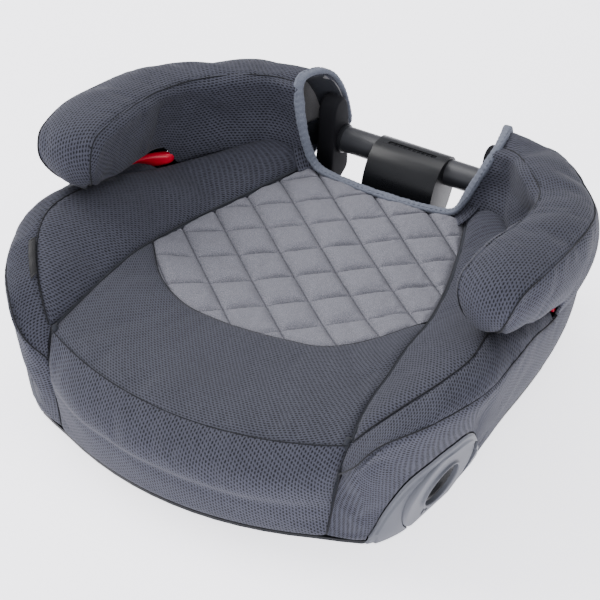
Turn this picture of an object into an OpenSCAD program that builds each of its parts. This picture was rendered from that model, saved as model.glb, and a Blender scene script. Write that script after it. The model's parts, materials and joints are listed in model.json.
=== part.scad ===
// Backless child booster seat with stowing lower anchor connectors
// +X to the sitter's left side seen from the front, -Y to the front, +Z up

/* [Seat] */
// height of the front seam above the floor at the middle
seat_front_h = 93.5; // [88:0.5:98]
// height of the insert above the floor at the middle
seat_mid_h = 98; // [94:0.5:102]
// thickness of the spacer mesh cover
mesh_t = 3; // [2:0.5:3]
// thickness of the hard shells
shell_t = 3; // [2:0.5:4]
// depth of the foam between seat cover and shell
foam_t = 18; // [12:1:24]

/* [Armrests] */
// depth of the foam round the armrest core
arm_foam_t = 14; // [10:1:16]

/* [Base] */
// wall thickness of the base tray
base_wall = 3; // [2:0.5:4]
// height of the base tray's walls
base_h = 44; // [42:1:46]
// height of the base tray's visible rim
rim_h = 4; // [3:0.5:5]

/* [Backrest axle] */
// diameter of the axle bar
axle_d = 25; // [24:0.5:26]
// height of the axle bar's centre
axle_z = 95.5; // [94:0.5:97]
// width of the saddle along the bar
saddle_w = 72; // [60:1:80]

/* [Buttons] */
// diameter of the release button
button_d = 41.4; // [38:0.2:46]
// diameter of the round bezel
bezel_d = 90; // [80:1:92]
// travel of the release button
button_travel = 5; // [3:0.5:6]

/* [Connectors] */
// distance between the two anchor connectors
anchor_pitch = 280; // [278:1:282]
// diameter of the anchor bar that the jaws take
anchor_bar_d = 6; // [5.5:0.5:6.5]
// how far the connectors slide out to the rear
connector_travel = 95; // [70:5:100]

/* [Hidden] */

mesh_c = [0.40, 0.41, 0.45];
melange_c = [0.60, 0.60, 0.64];
binding_c = [0.46, 0.49, 0.55];
black_c = [0.12, 0.12, 0.13];
grey_c = [0.42, 0.43, 0.45];
red_c = [0.62, 0.03, 0.12];
foam_c = [0.85, 0.83, 0.78];
steel_c = [0.70, 0.71, 0.73];
gap = 0.4;

// seam lines of the cover's right half, from the front corner to the rear
seat_seam = [[143, -173, 100], [139, -152, 106], [136, -125, 111], [135, -98, 113], [132, -60, 114],
  [128, -15, 107], [122, 20, 103], [112, 60, 99], [100, 100, 97], [88, 133, 97], [80, 147, 98],
  [76, 158, 98]];
crest_seam = [[144, -174, 101], [156, -165, 116], [176, -144, 134], [194, -116, 146], [203, -84, 150],
  [199, -45, 145], [196, 5, 127], [184, 58, 109], [160, 92, 108], [128, 132, 108], [98, 160, 106],
  [86, 172, 104]];
wide_seam = [[141, -184, 75], [160, -192, 98], [178, -183, 121], [205, -150, 130], [225, -100, 133],
  [227, -50, 131], [223, -5, 122], [218, 50, 103], [209, 105, 94], [196, 148, 90], [172, 186, 86],
  [118, 204, 86]];
hem_seam = [[131, -187, 6], [161, -175, 6], [179, -148, 6], [185, -115, 6], [189, -80, 6],
  [190, -35, 6], [189, 15, 6], [190, 60, 6], [189, 105, 6], [182, 150, 6], [164, 188, 6],
  [112, 203, 6]];
mid_line = [[0, -206, seat_front_h], [0, -180, seat_mid_h - 1], [0, -150, seat_mid_h],
  [0, -115, seat_mid_h], [0, -70, seat_mid_h], [0, -20, seat_mid_h], [0, 18, seat_mid_h],
  [0, 60, seat_mid_h], [0, 100, seat_mid_h], [0, 128, seat_mid_h], [0, 139, seat_mid_h - 1],
  [0, 148, seat_mid_h - 1]];
last = len(seat_seam) - 1;
seat_last = last - 1;

// smooth curve through a list of points or numbers
function curve(p, t) =
  let (n = len(p) - 1, c = min(max(t, 0), n), i = min(floor(c), n - 1), u = c - i,
    a = p[i], b = p[i + 1], z = i > 0 ? p[i - 1] : 2*a - b, d = i + 2 <= n ? p[i + 2] : 2*b - a)
  0.5*(2*a + (b - z)*u + (2*z - 5*a + 4*b - d)*u*u + (3*a - 3*b + d - z)*u*u*u);
function unit(v) = v/max(norm(v), 0.000001);
function flip(p) = [-p[0], p[1], p[2]];
function steps(a, b, n) = [for (i = [0:n]) a + (b - a)*i/n];

// cover surface: s runs from front to rear, v from the middle (0) out to the hem (4)
side_bulge = [4, 4, 3];
function seat_pt(s, v) =
  let (a = curve(seat_seam, s), m = curve(mid_line, s), w = abs(v))
  [v*a[0], m[1] + (a[1] - m[1])*w*w, m[2] + (a[2] - m[2])*pow(w, 2.5)];
function side_pt(s, v) =
  let (k = min(floor(v), 3), f = v - k, seams = [seat_seam, crest_seam, wide_seam, hem_seam],
    a = curve(seams[k - 1], s), b = curve(seams[k], s), away = unit([b[2] - a[2], 0, a[0] - b[0]]))
  a + (b - a)*f - away*side_bulge[k - 1]*sin(180*f)*min(1, s/2);
function surf(s, v) = abs(v) <= 1 ? seat_pt(s, v) : (v > 0 ? side_pt(s, v) : flip(side_pt(s, -v)));
function surf_n(s, v) =
  let (e = 0.06, ds = surf(min(s + e, last), v) - surf(max(s - e, 0), v),
    dv = surf(s, min(v + e, 4)) - surf(s, max(v - e, -4)))
  unit(cross(dv, ds));
function under(s, v, d) = surf(s, v) - d*surf_n(s, v);

// front of the cover: w runs from the hem (0) to the front seam (1), v from -1 to 1
front_puff = [0, 3, 8, 15, 18, 11, 0];
function front_pt(w, v) =
  let (xt = 143*v, q = xt/100, top = [xt, -205.7 + 14.12*q*q + 0.76*q*q*q*q, seat_front_h + 3.25*q*q],
    low = [131*v, -216 + 29*v*v, 6], p = low + (top - low)*w)
  p - [0, curve(front_puff, w*6)*(1 - 0.55*pow(abs(v), 6)), 0];
function front_n(w, v) =
  let (e = 0.02, dw = front_pt(min(w + e, 1), v) - front_pt(max(w - e, 0), v),
    dv = front_pt(w, min(v + e, 1)) - front_pt(w, max(v - e, -1)))
  unit(cross(dv, dw));
function front_under(w, v, d) = front_pt(w, v) - d*front_n(w, v);

// closed solid between an outer grid of points and an inner one
module slab(outer, inner) {
  n = len(outer);
  m = len(outer[0]);
  t = function (i, j) i*m + j;
  b = function (i, j) n*m + i*m + j;
  pts = [for (r = outer) each r, for (r = inner) each r];
  faces = [
    for (i = [0:n - 2], j = [0:m - 2]) each [
      [t(i, j), t(i + 1, j), t(i + 1, j + 1)], [t(i, j), t(i + 1, j + 1), t(i, j + 1)],
      [b(i, j), b(i + 1, j + 1), b(i + 1, j)], [b(i, j), b(i, j + 1), b(i + 1, j + 1)]],
    for (j = [0:m - 2]) each [
      [t(0, j), t(0, j + 1), b(0, j + 1)], [t(0, j), b(0, j + 1), b(0, j)],
      [t(n - 1, j + 1), t(n - 1, j), b(n - 1, j)], [t(n - 1, j + 1), b(n - 1, j), b(n - 1, j + 1)]],
    for (i = [0:n - 2]) each [
      [t(i + 1, 0), t(i, 0), b(i, 0)], [t(i + 1, 0), b(i, 0), b(i + 1, 0)],
      [t(i, m - 1), t(i + 1, m - 1), b(i + 1, m - 1)], [t(i, m - 1), b(i + 1, m - 1), b(i, m - 1)]]];
  polyhedron(points = pts, faces = faces, convexity = 10);
}

// cover patch between depths d0 and d1; s0 and s1 are functions of v
module patch(s0, s1, v0, v1, d0, d1, ns, nv) {
  grid = function (d) [for (i = [0:ns]) [for (v = steps(v0, v1, nv))
    under(s0(v) + (s1(v) - s0(v))*i/ns, v, d)]];
  slab(grid(d0), grid(d1));
}
// wall patch whose lower edge is a function of s
module wall_patch(s0, s1, v0, v1, d0, d1, ns, nv) {
  grid = function (d) [for (s = steps(s0, s1, ns)) [for (j = [0:nv])
    under(s, v0(s) + (v1(s) - v0(s))*j/nv, d)]];
  slab(grid(d0), grid(d1));
}
module mirrored() {
  mirror([1, 0, 0]) children();
}

// armrest sections from the nose round to the open inner end
arm_in_low = [[194, -39, 148], [188, -34, 149], [184, -27, 149], [182, -19, 148], [181, -12, 147],
  [181, 4, 145], [183, 30, 140], [186, 58, 131], [171, 88, 115], [143, 116, 113], [117, 138, 113],
  [80, 147, 107]];
arm_in_top = [[193, -41, 148], [180, -53, 161], [175, -60, 184], [175, -56, 202], [177, -42, 209],
  [178, -8, 208], [181, 26, 202], [181, 58, 196], [171, 100, 188], [146, 130, 185], [122, 157, 176],
  [101, 168, 169]];
arm_out_top = [[199, -42, 148], [214, -58, 161], [224, -68, 182], [229, -63, 198], [232, -49, 205],
  [236, -12, 205], [235, 32, 198], [231, 74, 190], [220, 110, 180], [197, 146, 171], [155, 187, 165],
  [90, 205, 162]];
arm_out_low = [[198, -39, 148], [205, -37, 150], [213, -32, 150], [219, -25, 149], [223, -17, 148],
  [228, 0, 146], [230, 32, 137], [226, 66, 123], [214, 108, 103], [196, 148, 99], [162, 195, 97],
  [80, 225, 98]];
arm_last = len(arm_in_top) - 1;
arm_bulge = [3, 5, 7, 2];
function arm_mid(k) =
  (curve(arm_in_low, k) + curve(arm_in_top, k) + curve(arm_out_top, k) + curve(arm_out_low, k))/4;
function arm_raw(k, q) =
  let (rails = [arm_in_low, arm_in_top, arm_out_top, arm_out_low], i = min(floor(q), 3), f = q - i,
    a = curve(rails[i], k), b = curve(rails[(i + 1)%4], k), p = a + (b - a)*f)
  p + unit(p - arm_mid(k))*arm_bulge[i]*sin(180*f);
function arm_pt(k, q, d) = let (p = arm_raw(k, q)) p - unit(p - arm_mid(k))*d;
module arm_solid(k0, k1, d, nk, nq) {
  n = nk + 1;
  m = 4*nq;
  ring = [for (k = steps(k0, k1, nk)) each [for (j = [0:m - 1]) arm_pt(k, j/nq, d)]];
  pts = concat(ring, [arm_mid(k0), arm_mid(k1)]);
  id = function (i, j) i*m + j%m;
  faces = [
    for (i = [0:n - 2], j = [0:m - 1]) each [
      [id(i, j), id(i + 1, j), id(i + 1, j + 1)], [id(i, j), id(i + 1, j + 1), id(i, j + 1)]],
    for (j = [0:m - 1]) each [[n*m, id(0, j), id(0, j + 1)], [n*m + 1, id(n - 1, j + 1), id(n - 1, j)]]];
  polyhedron(points = pts, faces = faces, convexity = 10);
}
// armrest patch whose lower edge is a function of k
module arm_patch(k0, k1, q0, q1, d0, d1, nk, nq) {
  grid = function (d) [for (k = steps(k0, k1, nk)) [for (q = steps(q0, q1(k), nq)) arm_pt(k, q, d)]];
  slab(grid(d0), grid(d1));
}

// outline of the base, drawn in towards the middle by a margin
function base_outline(m) =
  let (side = [for (s = steps(0.4, last, 20)) let (p = curve(hem_seam, s)) [p[0] - m, p[1]*(1 - m/205)]],
    front = [for (v = steps(-0.94, 0.94, 12)) [(131 - m)*v, -216 + 29*v*v + m]],
    left = [for (i = [len(side) - 1:-1:0]) [-side[i][0], side[i][1]]])
  concat(front, side, left);

button_at = [192, -112, 35];
button_n = unit([0.953, -0.140, -0.267]);
module on_button() {
  translate(button_at) rotate([0, acos(button_n[2]), atan2(button_n[1], button_n[0])]) children();
}

// anchor connectors, about the anchor bar's centre when stowed
bar_y = 186;
bar_z = 18;
arm_half = 12;
housing_half = 13.5;
plate_t = 4;
rail_half = 14.5;
rail_wall = 2;
rail_front = 72;
rail_low = 8;
rail_high = 44;
housing_front = -60;
housing_rear = 14;
jaw_r = anchor_bar_d/2 + 0.1;
hook_half = 5;
pivot_y = -16;
pivot_z = 8;
pin_r = 3;
slider_half = 7;
arm_front = -50;

module at_bar(side) {
  translate([side*anchor_pitch/2, bar_y, bar_z]) children();
}
module box(lo, hi) {
  translate(lo) cube(hi - lo);
}
module x_cyl(r, x0, x1, y, z, n = 48) {
  translate([x0, y, z]) rotate([0, 90, 0]) cylinder(r = r, h = x1 - x0, $fn = n);
}

feet_at = [[-150, -140], [150, -140], [-165, 150], [165, 150]];
foot_r = 9;
foot_h = 2;
screws_at = [[-60, -150], [60, -150], [-60, 110], [60, 110]];
screw_r = 3;
boss_r = 7;
module base_tray() {
  color(black_c) difference() {
    union() {
      translate([0, 0, foot_h - 1]) linear_extrude(rim_h - foot_h + 1) polygon(base_outline(1));
      difference() {
        translate([0, 0, foot_h]) linear_extrude(base_h - foot_h) polygon(base_outline(9));
        translate([0, 0, rim_h]) linear_extrude(base_h) polygon(base_outline(9 + base_wall));
      }
      for (p = screws_at) translate([p[0], p[1], rim_h - 1]) cylinder(r = boss_r, h = 6, $fn = 32);
      for (x = [-90, 0, 90]) box([x - 1.5, -195, rim_h - 1], [x + 1.5, -62, 30]);
      for (x = [-108, 108]) box([x - 1.5, 76, rim_h - 1], [x + 1.5, 190, 30]);
      box([-108, 120, rim_h - 1], [108, 123, 30]);
    }
    for (x = [-1, 1]) box([x*anchor_pitch/2 - 17, 150, rim_h + 0.5], [x*anchor_pitch/2 + 17, 215, 60]);
    for (m = [0, 1]) mirror([m, 0, 0]) on_button() translate([0, 0, -60]) cylinder(r = 26, h = 80, $fn = 48);
    for (p = screws_at) translate([p[0], p[1], 0]) cylinder(r = screw_r + 0.2, h = 20, $fn = 32);
    for (p = screws_at) translate([p[0], p[1], 0]) cylinder(r = 6.2, h = 3, $fn = 32);
    for (p = feet_at) translate([p[0], p[1], 0]) cylinder(r = foot_r + 0.1, h = foot_h, $fn = 48);
  }
}
module base_feet() {
  color([0.08, 0.08, 0.08]) for (p = feet_at) translate([p[0], p[1], 0])
    cylinder(r = foot_r, h = foot_h, $fn = 48);
}
module base_screws() {
  color(steel_c) for (p = screws_at) translate([p[0], p[1], 1.2]) {
    cylinder(r = 5.5, h = 1.7, $fn = 32);
    translate([0, 0, 1]) cylinder(r = screw_r, h = 12, $fn = 32);
  }
}

// stations that the seat foam and the hard shell under it share
across_half = [0, 0.25, 0.5, 0.75, 1, 1.25, 1.5, 1.75, 1.9, 2.1, 2.5, 2.9, 3.1, 3.35, 3.55];
function across(n) = [for (i = [-n:n]) sign(i)*across_half[abs(i)]];
along_seat = steps(0.9, seat_last - 0.6, 18);
foam_top = mesh_t + 1.5;
function foam_low(v) = abs(v) <= 1 ? foam_top + foam_t : foam_top + foam_t*(2 - abs(v)) + 0.4;

// hard shell under the foam, with wings behind the side panels
module seat_shell() {
  deep = function (v) (abs(v) < 1.95 ? foam_low(v) : mesh_t + 3) + 0.8;
  back = function (s, v) s + (1 - s/seat_last)*1.4*min(max(abs(v) - 1.9, 0), 1);
  grid = function (d) [for (s = along_seat) [for (v = across(14)) under(back(s, v), v, deep(v) + d)]];
  color(black_c) difference() {
    slab(grid(0), grid(shell_t));
    for (m = [0, 1]) mirror([m, 0, 0]) on_button() translate([0, 0, -40])
      cylinder(d = bezel_d + 3, h = 60, $fn = 96);
  }
}
// rear wall between the seat's rear edge and the base
module rear_shell() {
  wide = 72;
  color(black_c) difference() {
    box([-wide, 141, rim_h + 0.3], [wide, 144, 88]);
    for (x = [-44, 0, 44]) box([x - 14, 130, 52], [x + 14, 150, 58]);
  }
}
module front_shell() {
  grid = function (d) [for (w = steps(0.5, 0.82, 5)) [for (v = steps(-0.9, 0.9, 16)) front_under(w, v, d)]];
  color(black_c) slab(grid(mesh_t + 12), grid(mesh_t + 12 + shell_t));
}

// soft parts
// front edge of the insert, as a station along the seat at nine places from left to right
insert_front = [[4.49], [3.83], [3.56], [3.56], [3.62], [3.70], [3.79], [4.24], [5.10]];
function insert_edge(v) = curve(insert_front, 4*(v + 1))[0];
module seat_foam() {
  outer = [for (s = along_seat) [for (v = across(8)) under(s, v, foam_top)]];
  inner = [for (s = along_seat) [for (v = across(8)) under(s, v, foam_low(v))]];
  color(foam_c) slab(outer, inner);
}
module seat_front_panel() {
  color(mesh_c) patch(function (v) 0.12, function (v) insert_edge(v) - 0.02, -0.985, 0.985,
    0, mesh_t, 12, 16);
}
module seat_insert() {
  color(melange_c) patch(function (v) insert_edge(v) + 0.02, function (v) seat_last - 0.25, -0.985, 0.985,
    -1, mesh_t, 16, 16);
}
module side_top_panel_right() {
  color(mesh_c) patch(function (v) 0.5, function (v) seat_last - 0.3, 1.02, 1.98, 0, mesh_t, 18, 5);
}
module side_top_panel_left() {
  mirrored() side_top_panel_right();
}
module outer_band_right() {
  color(mesh_c) patch(function (v) 0.1, function (v) 6.6, 2.02, 2.98, 0, mesh_t, 18, 5);
}
module outer_band_left() {
  mirrored() outer_band_right();
}

// the side cover's upper edge as a share of the wall's height, from its front tip to its rear
cover_top = [0.04, 0.30, 0.45, 0.55, 0.61, 0.66, 0.66, 0.40, 0.14];
cover_from = 1.05;
cover_to = 4.8;
rear_lift = 0.52;
function cover_edge(s) =
  s > 9 ? 4 - rear_lift*min((s - 9)/0.6, 1) :
  s < cover_from || s > cover_to ? 4 : 4 - curve(cover_top, 8*(s - cover_from)/(cover_to - cover_from));
module lower_side_panel_right() {
  color(mesh_c) wall_patch(0.1, last, function (s) 3.02, function (s) cover_edge(s) - 0.02,
    0, mesh_t, 36, 4);
}
module lower_side_panel_left() {
  mirrored() lower_side_panel_right();
}
module side_cover_right() {
  color(grey_c) difference() {
    wall_patch(cover_from + 0.04, cover_to - 0.02, function (s) cover_edge(s) + 0.015, function (s) 4,
      -1.5, mesh_t, 22, 6);
    on_button() translate([0, 0, -20]) cylinder(d = bezel_d + 0.8, h = 40, $fn = 96);
    box([100, -200, -10], [260, 0, rim_h + 0.3]);
  }
}
module side_cover_left() {
  mirrored() side_cover_right();
}
slot_turn = -29;
module button_bezel_right() {
  color(grey_c) difference() {
    on_button() difference() {
      union() {
        translate([0, 0, -3]) cylinder(d = bezel_d, h = 6, $fn = 96);
        cylinder(d = button_d + 6.4, h = 4.5, $fn = 96);
      }
      translate([0, 0, -10]) cylinder(d = button_d + 0.8, h = 20, $fn = 96);
      for (i = [-1, 0, 1]) rotate([0, 0, slot_turn + 12*i]) translate([button_d/2 + 7.5, 0, 0])
        cube([6 - abs(i), 3, 20], center = true);
    }
    box([100, -220, -20], [260, 0, rim_h + 0.3]);
  }
}
module button_bezel_left() {
  mirrored() button_bezel_right();
}
dish_r = 60;
module release_button_right() {
  color(black_c) on_button() difference() {
    union() {
      translate([0, 0, -7]) cylinder(d = button_d, h = 8, $fn = 96);
      translate([0, 0, -20]) cylinder(r = 8, h = 14, $fn = 48);
    }
    translate([0, 0, dish_r - 4]) sphere(r = dish_r, $fn = 96);
  }
}
module release_button_left() {
  mirrored() release_button_right();
}
module front_band() {
  grid = function (d) [for (w = steps(0.01, 0.985, 12)) [for (v = steps(-0.985, 0.985, 18))
    front_under(w, v, d)]];
  color(mesh_c) slab(grid(0), grid(mesh_t));
}

// armrests
sleeve_k = 9.9;
nose_k = 0.6;
arm_foam_top = mesh_t + 2.2;
module armrest_core_right() {
  color(black_c) arm_solid(3.8, sleeve_k - 0.75, arm_foam_top + arm_foam_t + 2.6, 9, 4);
}
module armrest_core_left() {
  mirrored() armrest_core_right();
}
module armrest_foam_right() {
  color(foam_c) difference() {
    arm_solid(0.9, sleeve_k, arm_foam_top, 15, 4);
    arm_solid(3.7, sleeve_k - 0.65, arm_foam_top + arm_foam_t, 10, 4);
  }
}
module armrest_foam_left() {
  mirrored() armrest_foam_right();
}
module armrest_inner_panel_right() {
  color(mesh_c) arm_patch(nose_k, arm_last - 0.05, 0.02, function (k) 0.98, 0, mesh_t, 21, 4);
}
module armrest_inner_panel_left() {
  mirrored() armrest_inner_panel_right();
}
module armrest_gusset_right() {
  color(mesh_c) arm_patch(nose_k, arm_last - 0.05, 1.02, function (k) 1.98, 0, mesh_t, 21, 4);
}
module armrest_gusset_left() {
  mirrored() armrest_gusset_right();
}
// the outer panel wraps under the armrest, and ends above the base at the rear
outer_low_edge = function (k) 3.98 - min(max(2*k - 19.8, 0), 1);
module armrest_outer_panel_right() {
  color(mesh_c) arm_patch(nose_k, arm_last - 0.05, 2.02, outer_low_edge, 0, mesh_t, 21, 8);
}
module armrest_outer_panel_left() {
  mirrored() armrest_outer_panel_right();
}

// bindings
bind_r = 4;
module cord_run(points, r) {
  m = 10;
  n = len(points);
  ring = [for (i = [0:n - 1]) let (t = unit(points[min(i + 1, n - 1)] - points[max(i - 1, 0)]),
    a = unit(cross(t, abs(t[2]) < 0.9 ? [0, 0, 1] : [0, 1, 0])), b = cross(t, a))
    each [for (j = [0:m - 1]) points[i] + r*(cos(360*j/m)*a + sin(360*j/m)*b)]];
  pts = concat(ring, [points[0], points[n - 1]]);
  id = function (i, j) i*m + j%m;
  faces = [
    for (i = [0:n - 2], j = [0:m - 1]) each [
      [id(i, j), id(i + 1, j + 1), id(i + 1, j)], [id(i, j), id(i, j + 1), id(i + 1, j + 1)]],
    for (j = [0:m - 1]) each [[n*m, id(0, j + 1), id(0, j)], [n*m + 1, id(n - 1, j), id(n - 1, j + 1)]]];
  polyhedron(points = pts, faces = faces, convexity = 10);
}
module seat_binding() {
  color(binding_c) cord_run([for (v = steps(-0.97, 0.97, 20)) seat_pt(seat_last, v) + [0, 3, -1]], bind_r);
}
module sleeve_binding_right() {
  color(binding_c) cord_run([for (q = steps(0.08, 2.95, 24)) arm_pt(arm_last, q, 1) + [-5, 0, 0]], bind_r);
}
module sleeve_binding_left() {
  mirrored() sleeve_binding_right();
}
module label_tag() {
  color(black_c) mirrored() patch(function (v) 1.75, function (v) 2.8, 2.04, 2.4, -1.7, -0.3, 8, 2);
}

// rear frame
axle_y = 205;
upright_in = 76;
upright_out = 94;
module upright_right() {
  color(black_c) difference() {
    translate([upright_out, 0, 0]) rotate([0, -90, 0]) linear_extrude(upright_out - upright_in)
      polygon([[rim_h + 0.2, 172], [rim_h + 0.2, 189], [base_h + 2, 189], [58, 216], [122, 216],
        [132, 214], [139, 209], [142, 202], [141, 195], [136, 190], [128, 187], [100, 185], [60, 180]]);
    x_cyl(axle_d/2 + 0.05, 0, 120, axle_y, axle_z, 96);
  }
}
module rear_upright_right() {
  upright_right();
}
module rear_upright_left() {
  mirrored() upright_right();
}
module backrest_axle() {
  color(black_c) x_cyl(axle_d/2, -92, 92, axle_y, axle_z, 96);
}
recess_half = 26;
module axle_saddle() {
  color(black_c) difference() {
    translate([saddle_w/2, 0, 0]) rotate([0, -90, 0]) linear_extrude(saddle_w)
      polygon([[rim_h + 0.2, 168], [rim_h + 0.2, 189], [base_h + 2, 189], [58, 206], [76, 218], [88, 221],
        [100, 220], [108, 214], [111, 206], [111, 196], [109, 189], [104, 182], [96, 175], [86, 170],
        [76, 167], [60, 166]]);
    x_cyl(axle_d/2 + 0.05, -60, 60, axle_y, axle_z, 96);
    box([-recess_half, 198, 109.8], [recess_half, 203, 120]);
  }
}
guide_in = 181;
guide_out = 211;
guide_low = 106;
module belt_guide_right() {
  color(red_c) difference() {
    box([guide_in, 66, guide_low], [guide_out, 76, guide_low + 10]);
    x_cyl(6, guide_in - 5, guide_out + 5, 64, guide_low + 5);
  }
}
module belt_guide_left() {
  mirrored() belt_guide_right();
}

// connectors
module rail(side) {
  color(black_c) translate([side*anchor_pitch/2, 0, 0]) difference() {
    box([-rail_half - rail_wall, rail_front, rail_low - rail_wall],
      [rail_half + rail_wall, 190, rail_high + rail_wall]);
    box([-rail_half, rail_front - 1, rail_low], [rail_half, 191, rail_high]);
  }
}
module connector_rail_right() {
  rail(1);
}
module connector_rail_left() {
  rail(-1);
}
module arm(side) {
  color(steel_c) at_bar(side) difference() {
    box([-arm_half, arm_front - bar_y, -8], [arm_half, housing_front - 0.1, 14]);
    box([-arm_half + 2, arm_front - bar_y - 1, -6], [arm_half - 2, housing_front + 1, 12]);
  }
}
module connector_arm_right() {
  arm(1);
}
module connector_arm_left() {
  arm(-1);
}
module connector_crossbar() {
  reach = anchor_pitch/2 - arm_half - 0.1;
  color(steel_c) difference() {
    box([-reach, arm_front + 2, bar_z - 6], [reach, arm_front + 22, bar_z + 12]);
    box([-reach - 1, arm_front + 4, bar_z - 4], [reach + 1, arm_front + 20, bar_z + 10]);
  }
}
module housing(side) {
  color(black_c) at_bar(side) difference() {
    box([-housing_half, housing_front, -9], [housing_half, housing_rear, 25]);
    box([-housing_half + plate_t, -30, -10], [housing_half - plate_t, 40, 30]);
    box([-slider_half - 0.5, housing_front - 1, 17.5], [slider_half + 0.5, 40, 30]);
    x_cyl(jaw_r, -20, 20, 0, 0);
    box([-20, 0, -jaw_r], [20, 40, jaw_r]);
    x_cyl(pin_r + 0.05, -20, 20, pivot_y, pivot_z);
  }
}
module latch_housing_right() {
  housing(1);
}
module latch_housing_left() {
  housing(-1);
}
module hook(side) {
  color(steel_c) at_bar(side) difference() {
    translate([hook_half, 0, 0]) rotate([0, -90, 0]) linear_extrude(2*hook_half)
      polygon([[pivot_z - 6, -22], [pivot_z + 3, -23], [pivot_z + 6, -18], [11, -8], [11, 6], [8, 9],
        [-2, 9], [-2, 6], [4.5, 3.8], [4.5, -4], [pivot_z - 6, -12]]);
    x_cyl(pin_r + 0.05, -10, 10, pivot_y, pivot_z);
  }
}
module latch_hook_right() {
  hook(1);
}
module latch_hook_left() {
  hook(-1);
}
module hook_pin(side) {
  color(steel_c) at_bar(side) x_cyl(pin_r, -housing_half + 0.5, housing_half - 0.5, pivot_y, pivot_z);
}
module hook_pin_right() {
  hook_pin(1);
}
module hook_pin_left() {
  hook_pin(-1);
}
module slider(side) {
  color(red_c) at_bar(side) {
    box([-slider_half, -54, 17.9], [slider_half, -36, 22]);
    for (y = [-52, -46, -40]) box([-slider_half, y, 21.9], [slider_half, y + 2, 24]);
  }
}
module latch_slider_right() {
  slider(1);
}
module latch_slider_left() {
  slider(-1);
}

base_tray();
base_feet();
base_screws();
seat_shell();
front_shell();
rear_shell();
rear_upright_left();
rear_upright_right();
backrest_axle();
axle_saddle();
belt_guide_left();
belt_guide_right();
armrest_core_left();
armrest_core_right();
armrest_foam_left();
armrest_foam_right();
armrest_inner_panel_left();
armrest_inner_panel_right();
armrest_gusset_left();
armrest_gusset_right();
armrest_outer_panel_left();
armrest_outer_panel_right();
seat_foam();
seat_front_panel();
seat_insert();
side_top_panel_left();
side_top_panel_right();
outer_band_left();
outer_band_right();
lower_side_panel_left();
lower_side_panel_right();
front_band();
seat_binding();
sleeve_binding_left();
sleeve_binding_right();
label_tag();
side_cover_left();
side_cover_right();
button_bezel_left();
button_bezel_right();
release_button_left();
release_button_right();
connector_rail_left();
connector_rail_right();
connector_arm_left();
connector_arm_right();
connector_crossbar();
latch_housing_left();
latch_housing_right();
latch_hook_left();
latch_hook_right();
hook_pin_left();
hook_pin_right();
latch_slider_left();
latch_slider_right();
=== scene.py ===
"""Looks of a backless child booster seat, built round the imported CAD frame."""
import json
import math

import bmesh
import bpy
import numpy as np
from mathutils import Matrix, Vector


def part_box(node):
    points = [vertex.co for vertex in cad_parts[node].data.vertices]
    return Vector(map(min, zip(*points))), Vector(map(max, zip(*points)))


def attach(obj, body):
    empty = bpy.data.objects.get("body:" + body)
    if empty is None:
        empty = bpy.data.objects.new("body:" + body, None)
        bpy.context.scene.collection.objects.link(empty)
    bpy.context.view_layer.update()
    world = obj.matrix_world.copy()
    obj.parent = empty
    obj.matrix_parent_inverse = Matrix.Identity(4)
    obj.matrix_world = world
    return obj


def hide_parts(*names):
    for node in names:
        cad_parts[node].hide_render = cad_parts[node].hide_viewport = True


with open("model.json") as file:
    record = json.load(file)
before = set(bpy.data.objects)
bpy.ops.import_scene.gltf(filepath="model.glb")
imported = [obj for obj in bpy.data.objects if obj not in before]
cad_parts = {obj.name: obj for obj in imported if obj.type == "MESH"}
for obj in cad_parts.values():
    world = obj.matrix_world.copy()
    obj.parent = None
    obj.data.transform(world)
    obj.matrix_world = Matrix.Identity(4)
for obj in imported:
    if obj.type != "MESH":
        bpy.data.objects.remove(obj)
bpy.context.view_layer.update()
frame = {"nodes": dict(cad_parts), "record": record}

MM = 0.001
scene = bpy.context.scene


# --- curves and surfaces, in mm
def curve(points, t):
    """Smooth curve through points, at every value of the array t."""
    p = np.asarray(points, float)
    p = p[:, None] if p.ndim == 1 else p
    n = len(p) - 1
    t = np.clip(np.asarray(t, float), 0, n)
    i = np.minimum(t.astype(int), n - 1)
    u = (t - i)[..., None]
    a, b = p[i], p[i + 1]
    z = np.where((i > 0)[..., None], p[np.maximum(i - 1, 0)], 2*a - b)
    d = np.where((i + 2 <= n)[..., None], p[np.minimum(i + 2, n)], 2*b - a)
    return 0.5*(2*a + (b - z)*u + (2*z - 5*a + 4*b - d)*u*u + (3*a - 3*b + d - z)*u**3)


def unit(v):
    """Vectors of length one."""
    return v/np.maximum(np.linalg.norm(v, axis=-1, keepdims=True), 1e-9)


def smoothstep(a, b, x):
    """Smooth rise from 0 at a to 1 at b."""
    t = np.clip((np.asarray(x, float) - a)/(b - a), 0, 1)
    return t*t*(3 - 2*t)


def bell(x, centre, width):
    """Bell curve of height 1."""
    return np.exp(-((np.asarray(x, float) - centre)/width)**2)


# seam lines of the cover's right half, from the front corner to the rear
FRONT_H, MID_H = 93.5, 98
SEAT_SEAM = [(143, -173, 100), (139, -152, 106), (136, -125, 111), (135, -98, 113), (132, -60, 114),
             (128, -15, 107), (122, 20, 103), (112, 60, 99), (100, 100, 97), (88, 133, 97), (80, 147, 98),
             (76, 158, 98)]
CREST_SEAM = [(144, -174, 101), (156, -165, 116), (176, -144, 134), (194, -116, 146), (203, -84, 150),
              (199, -45, 147), (196, 5, 132), (184, 58, 114), (160, 92, 114), (128, 132, 118),
              (98, 158, 118), (84, 164, 116)]
WIDE_SEAM = [(141, -184, 75), (160, -192, 98), (178, -183, 121), (205, -150, 130), (225, -100, 133),
             (227, -50, 131), (223, -5, 122), (218, 50, 103), (209, 105, 94), (196, 148, 90),
             (172, 186, 86), (118, 204, 86)]
HEM_SEAM = [(131, -187, 6), (161, -175, 6), (179, -148, 6), (185, -115, 6), (189, -80, 6), (190, -35, 6),
            (189, 15, 6), (190, 60, 6), (189, 105, 6), (182, 150, 6), (164, 188, 6), (112, 203, 6)]
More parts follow.
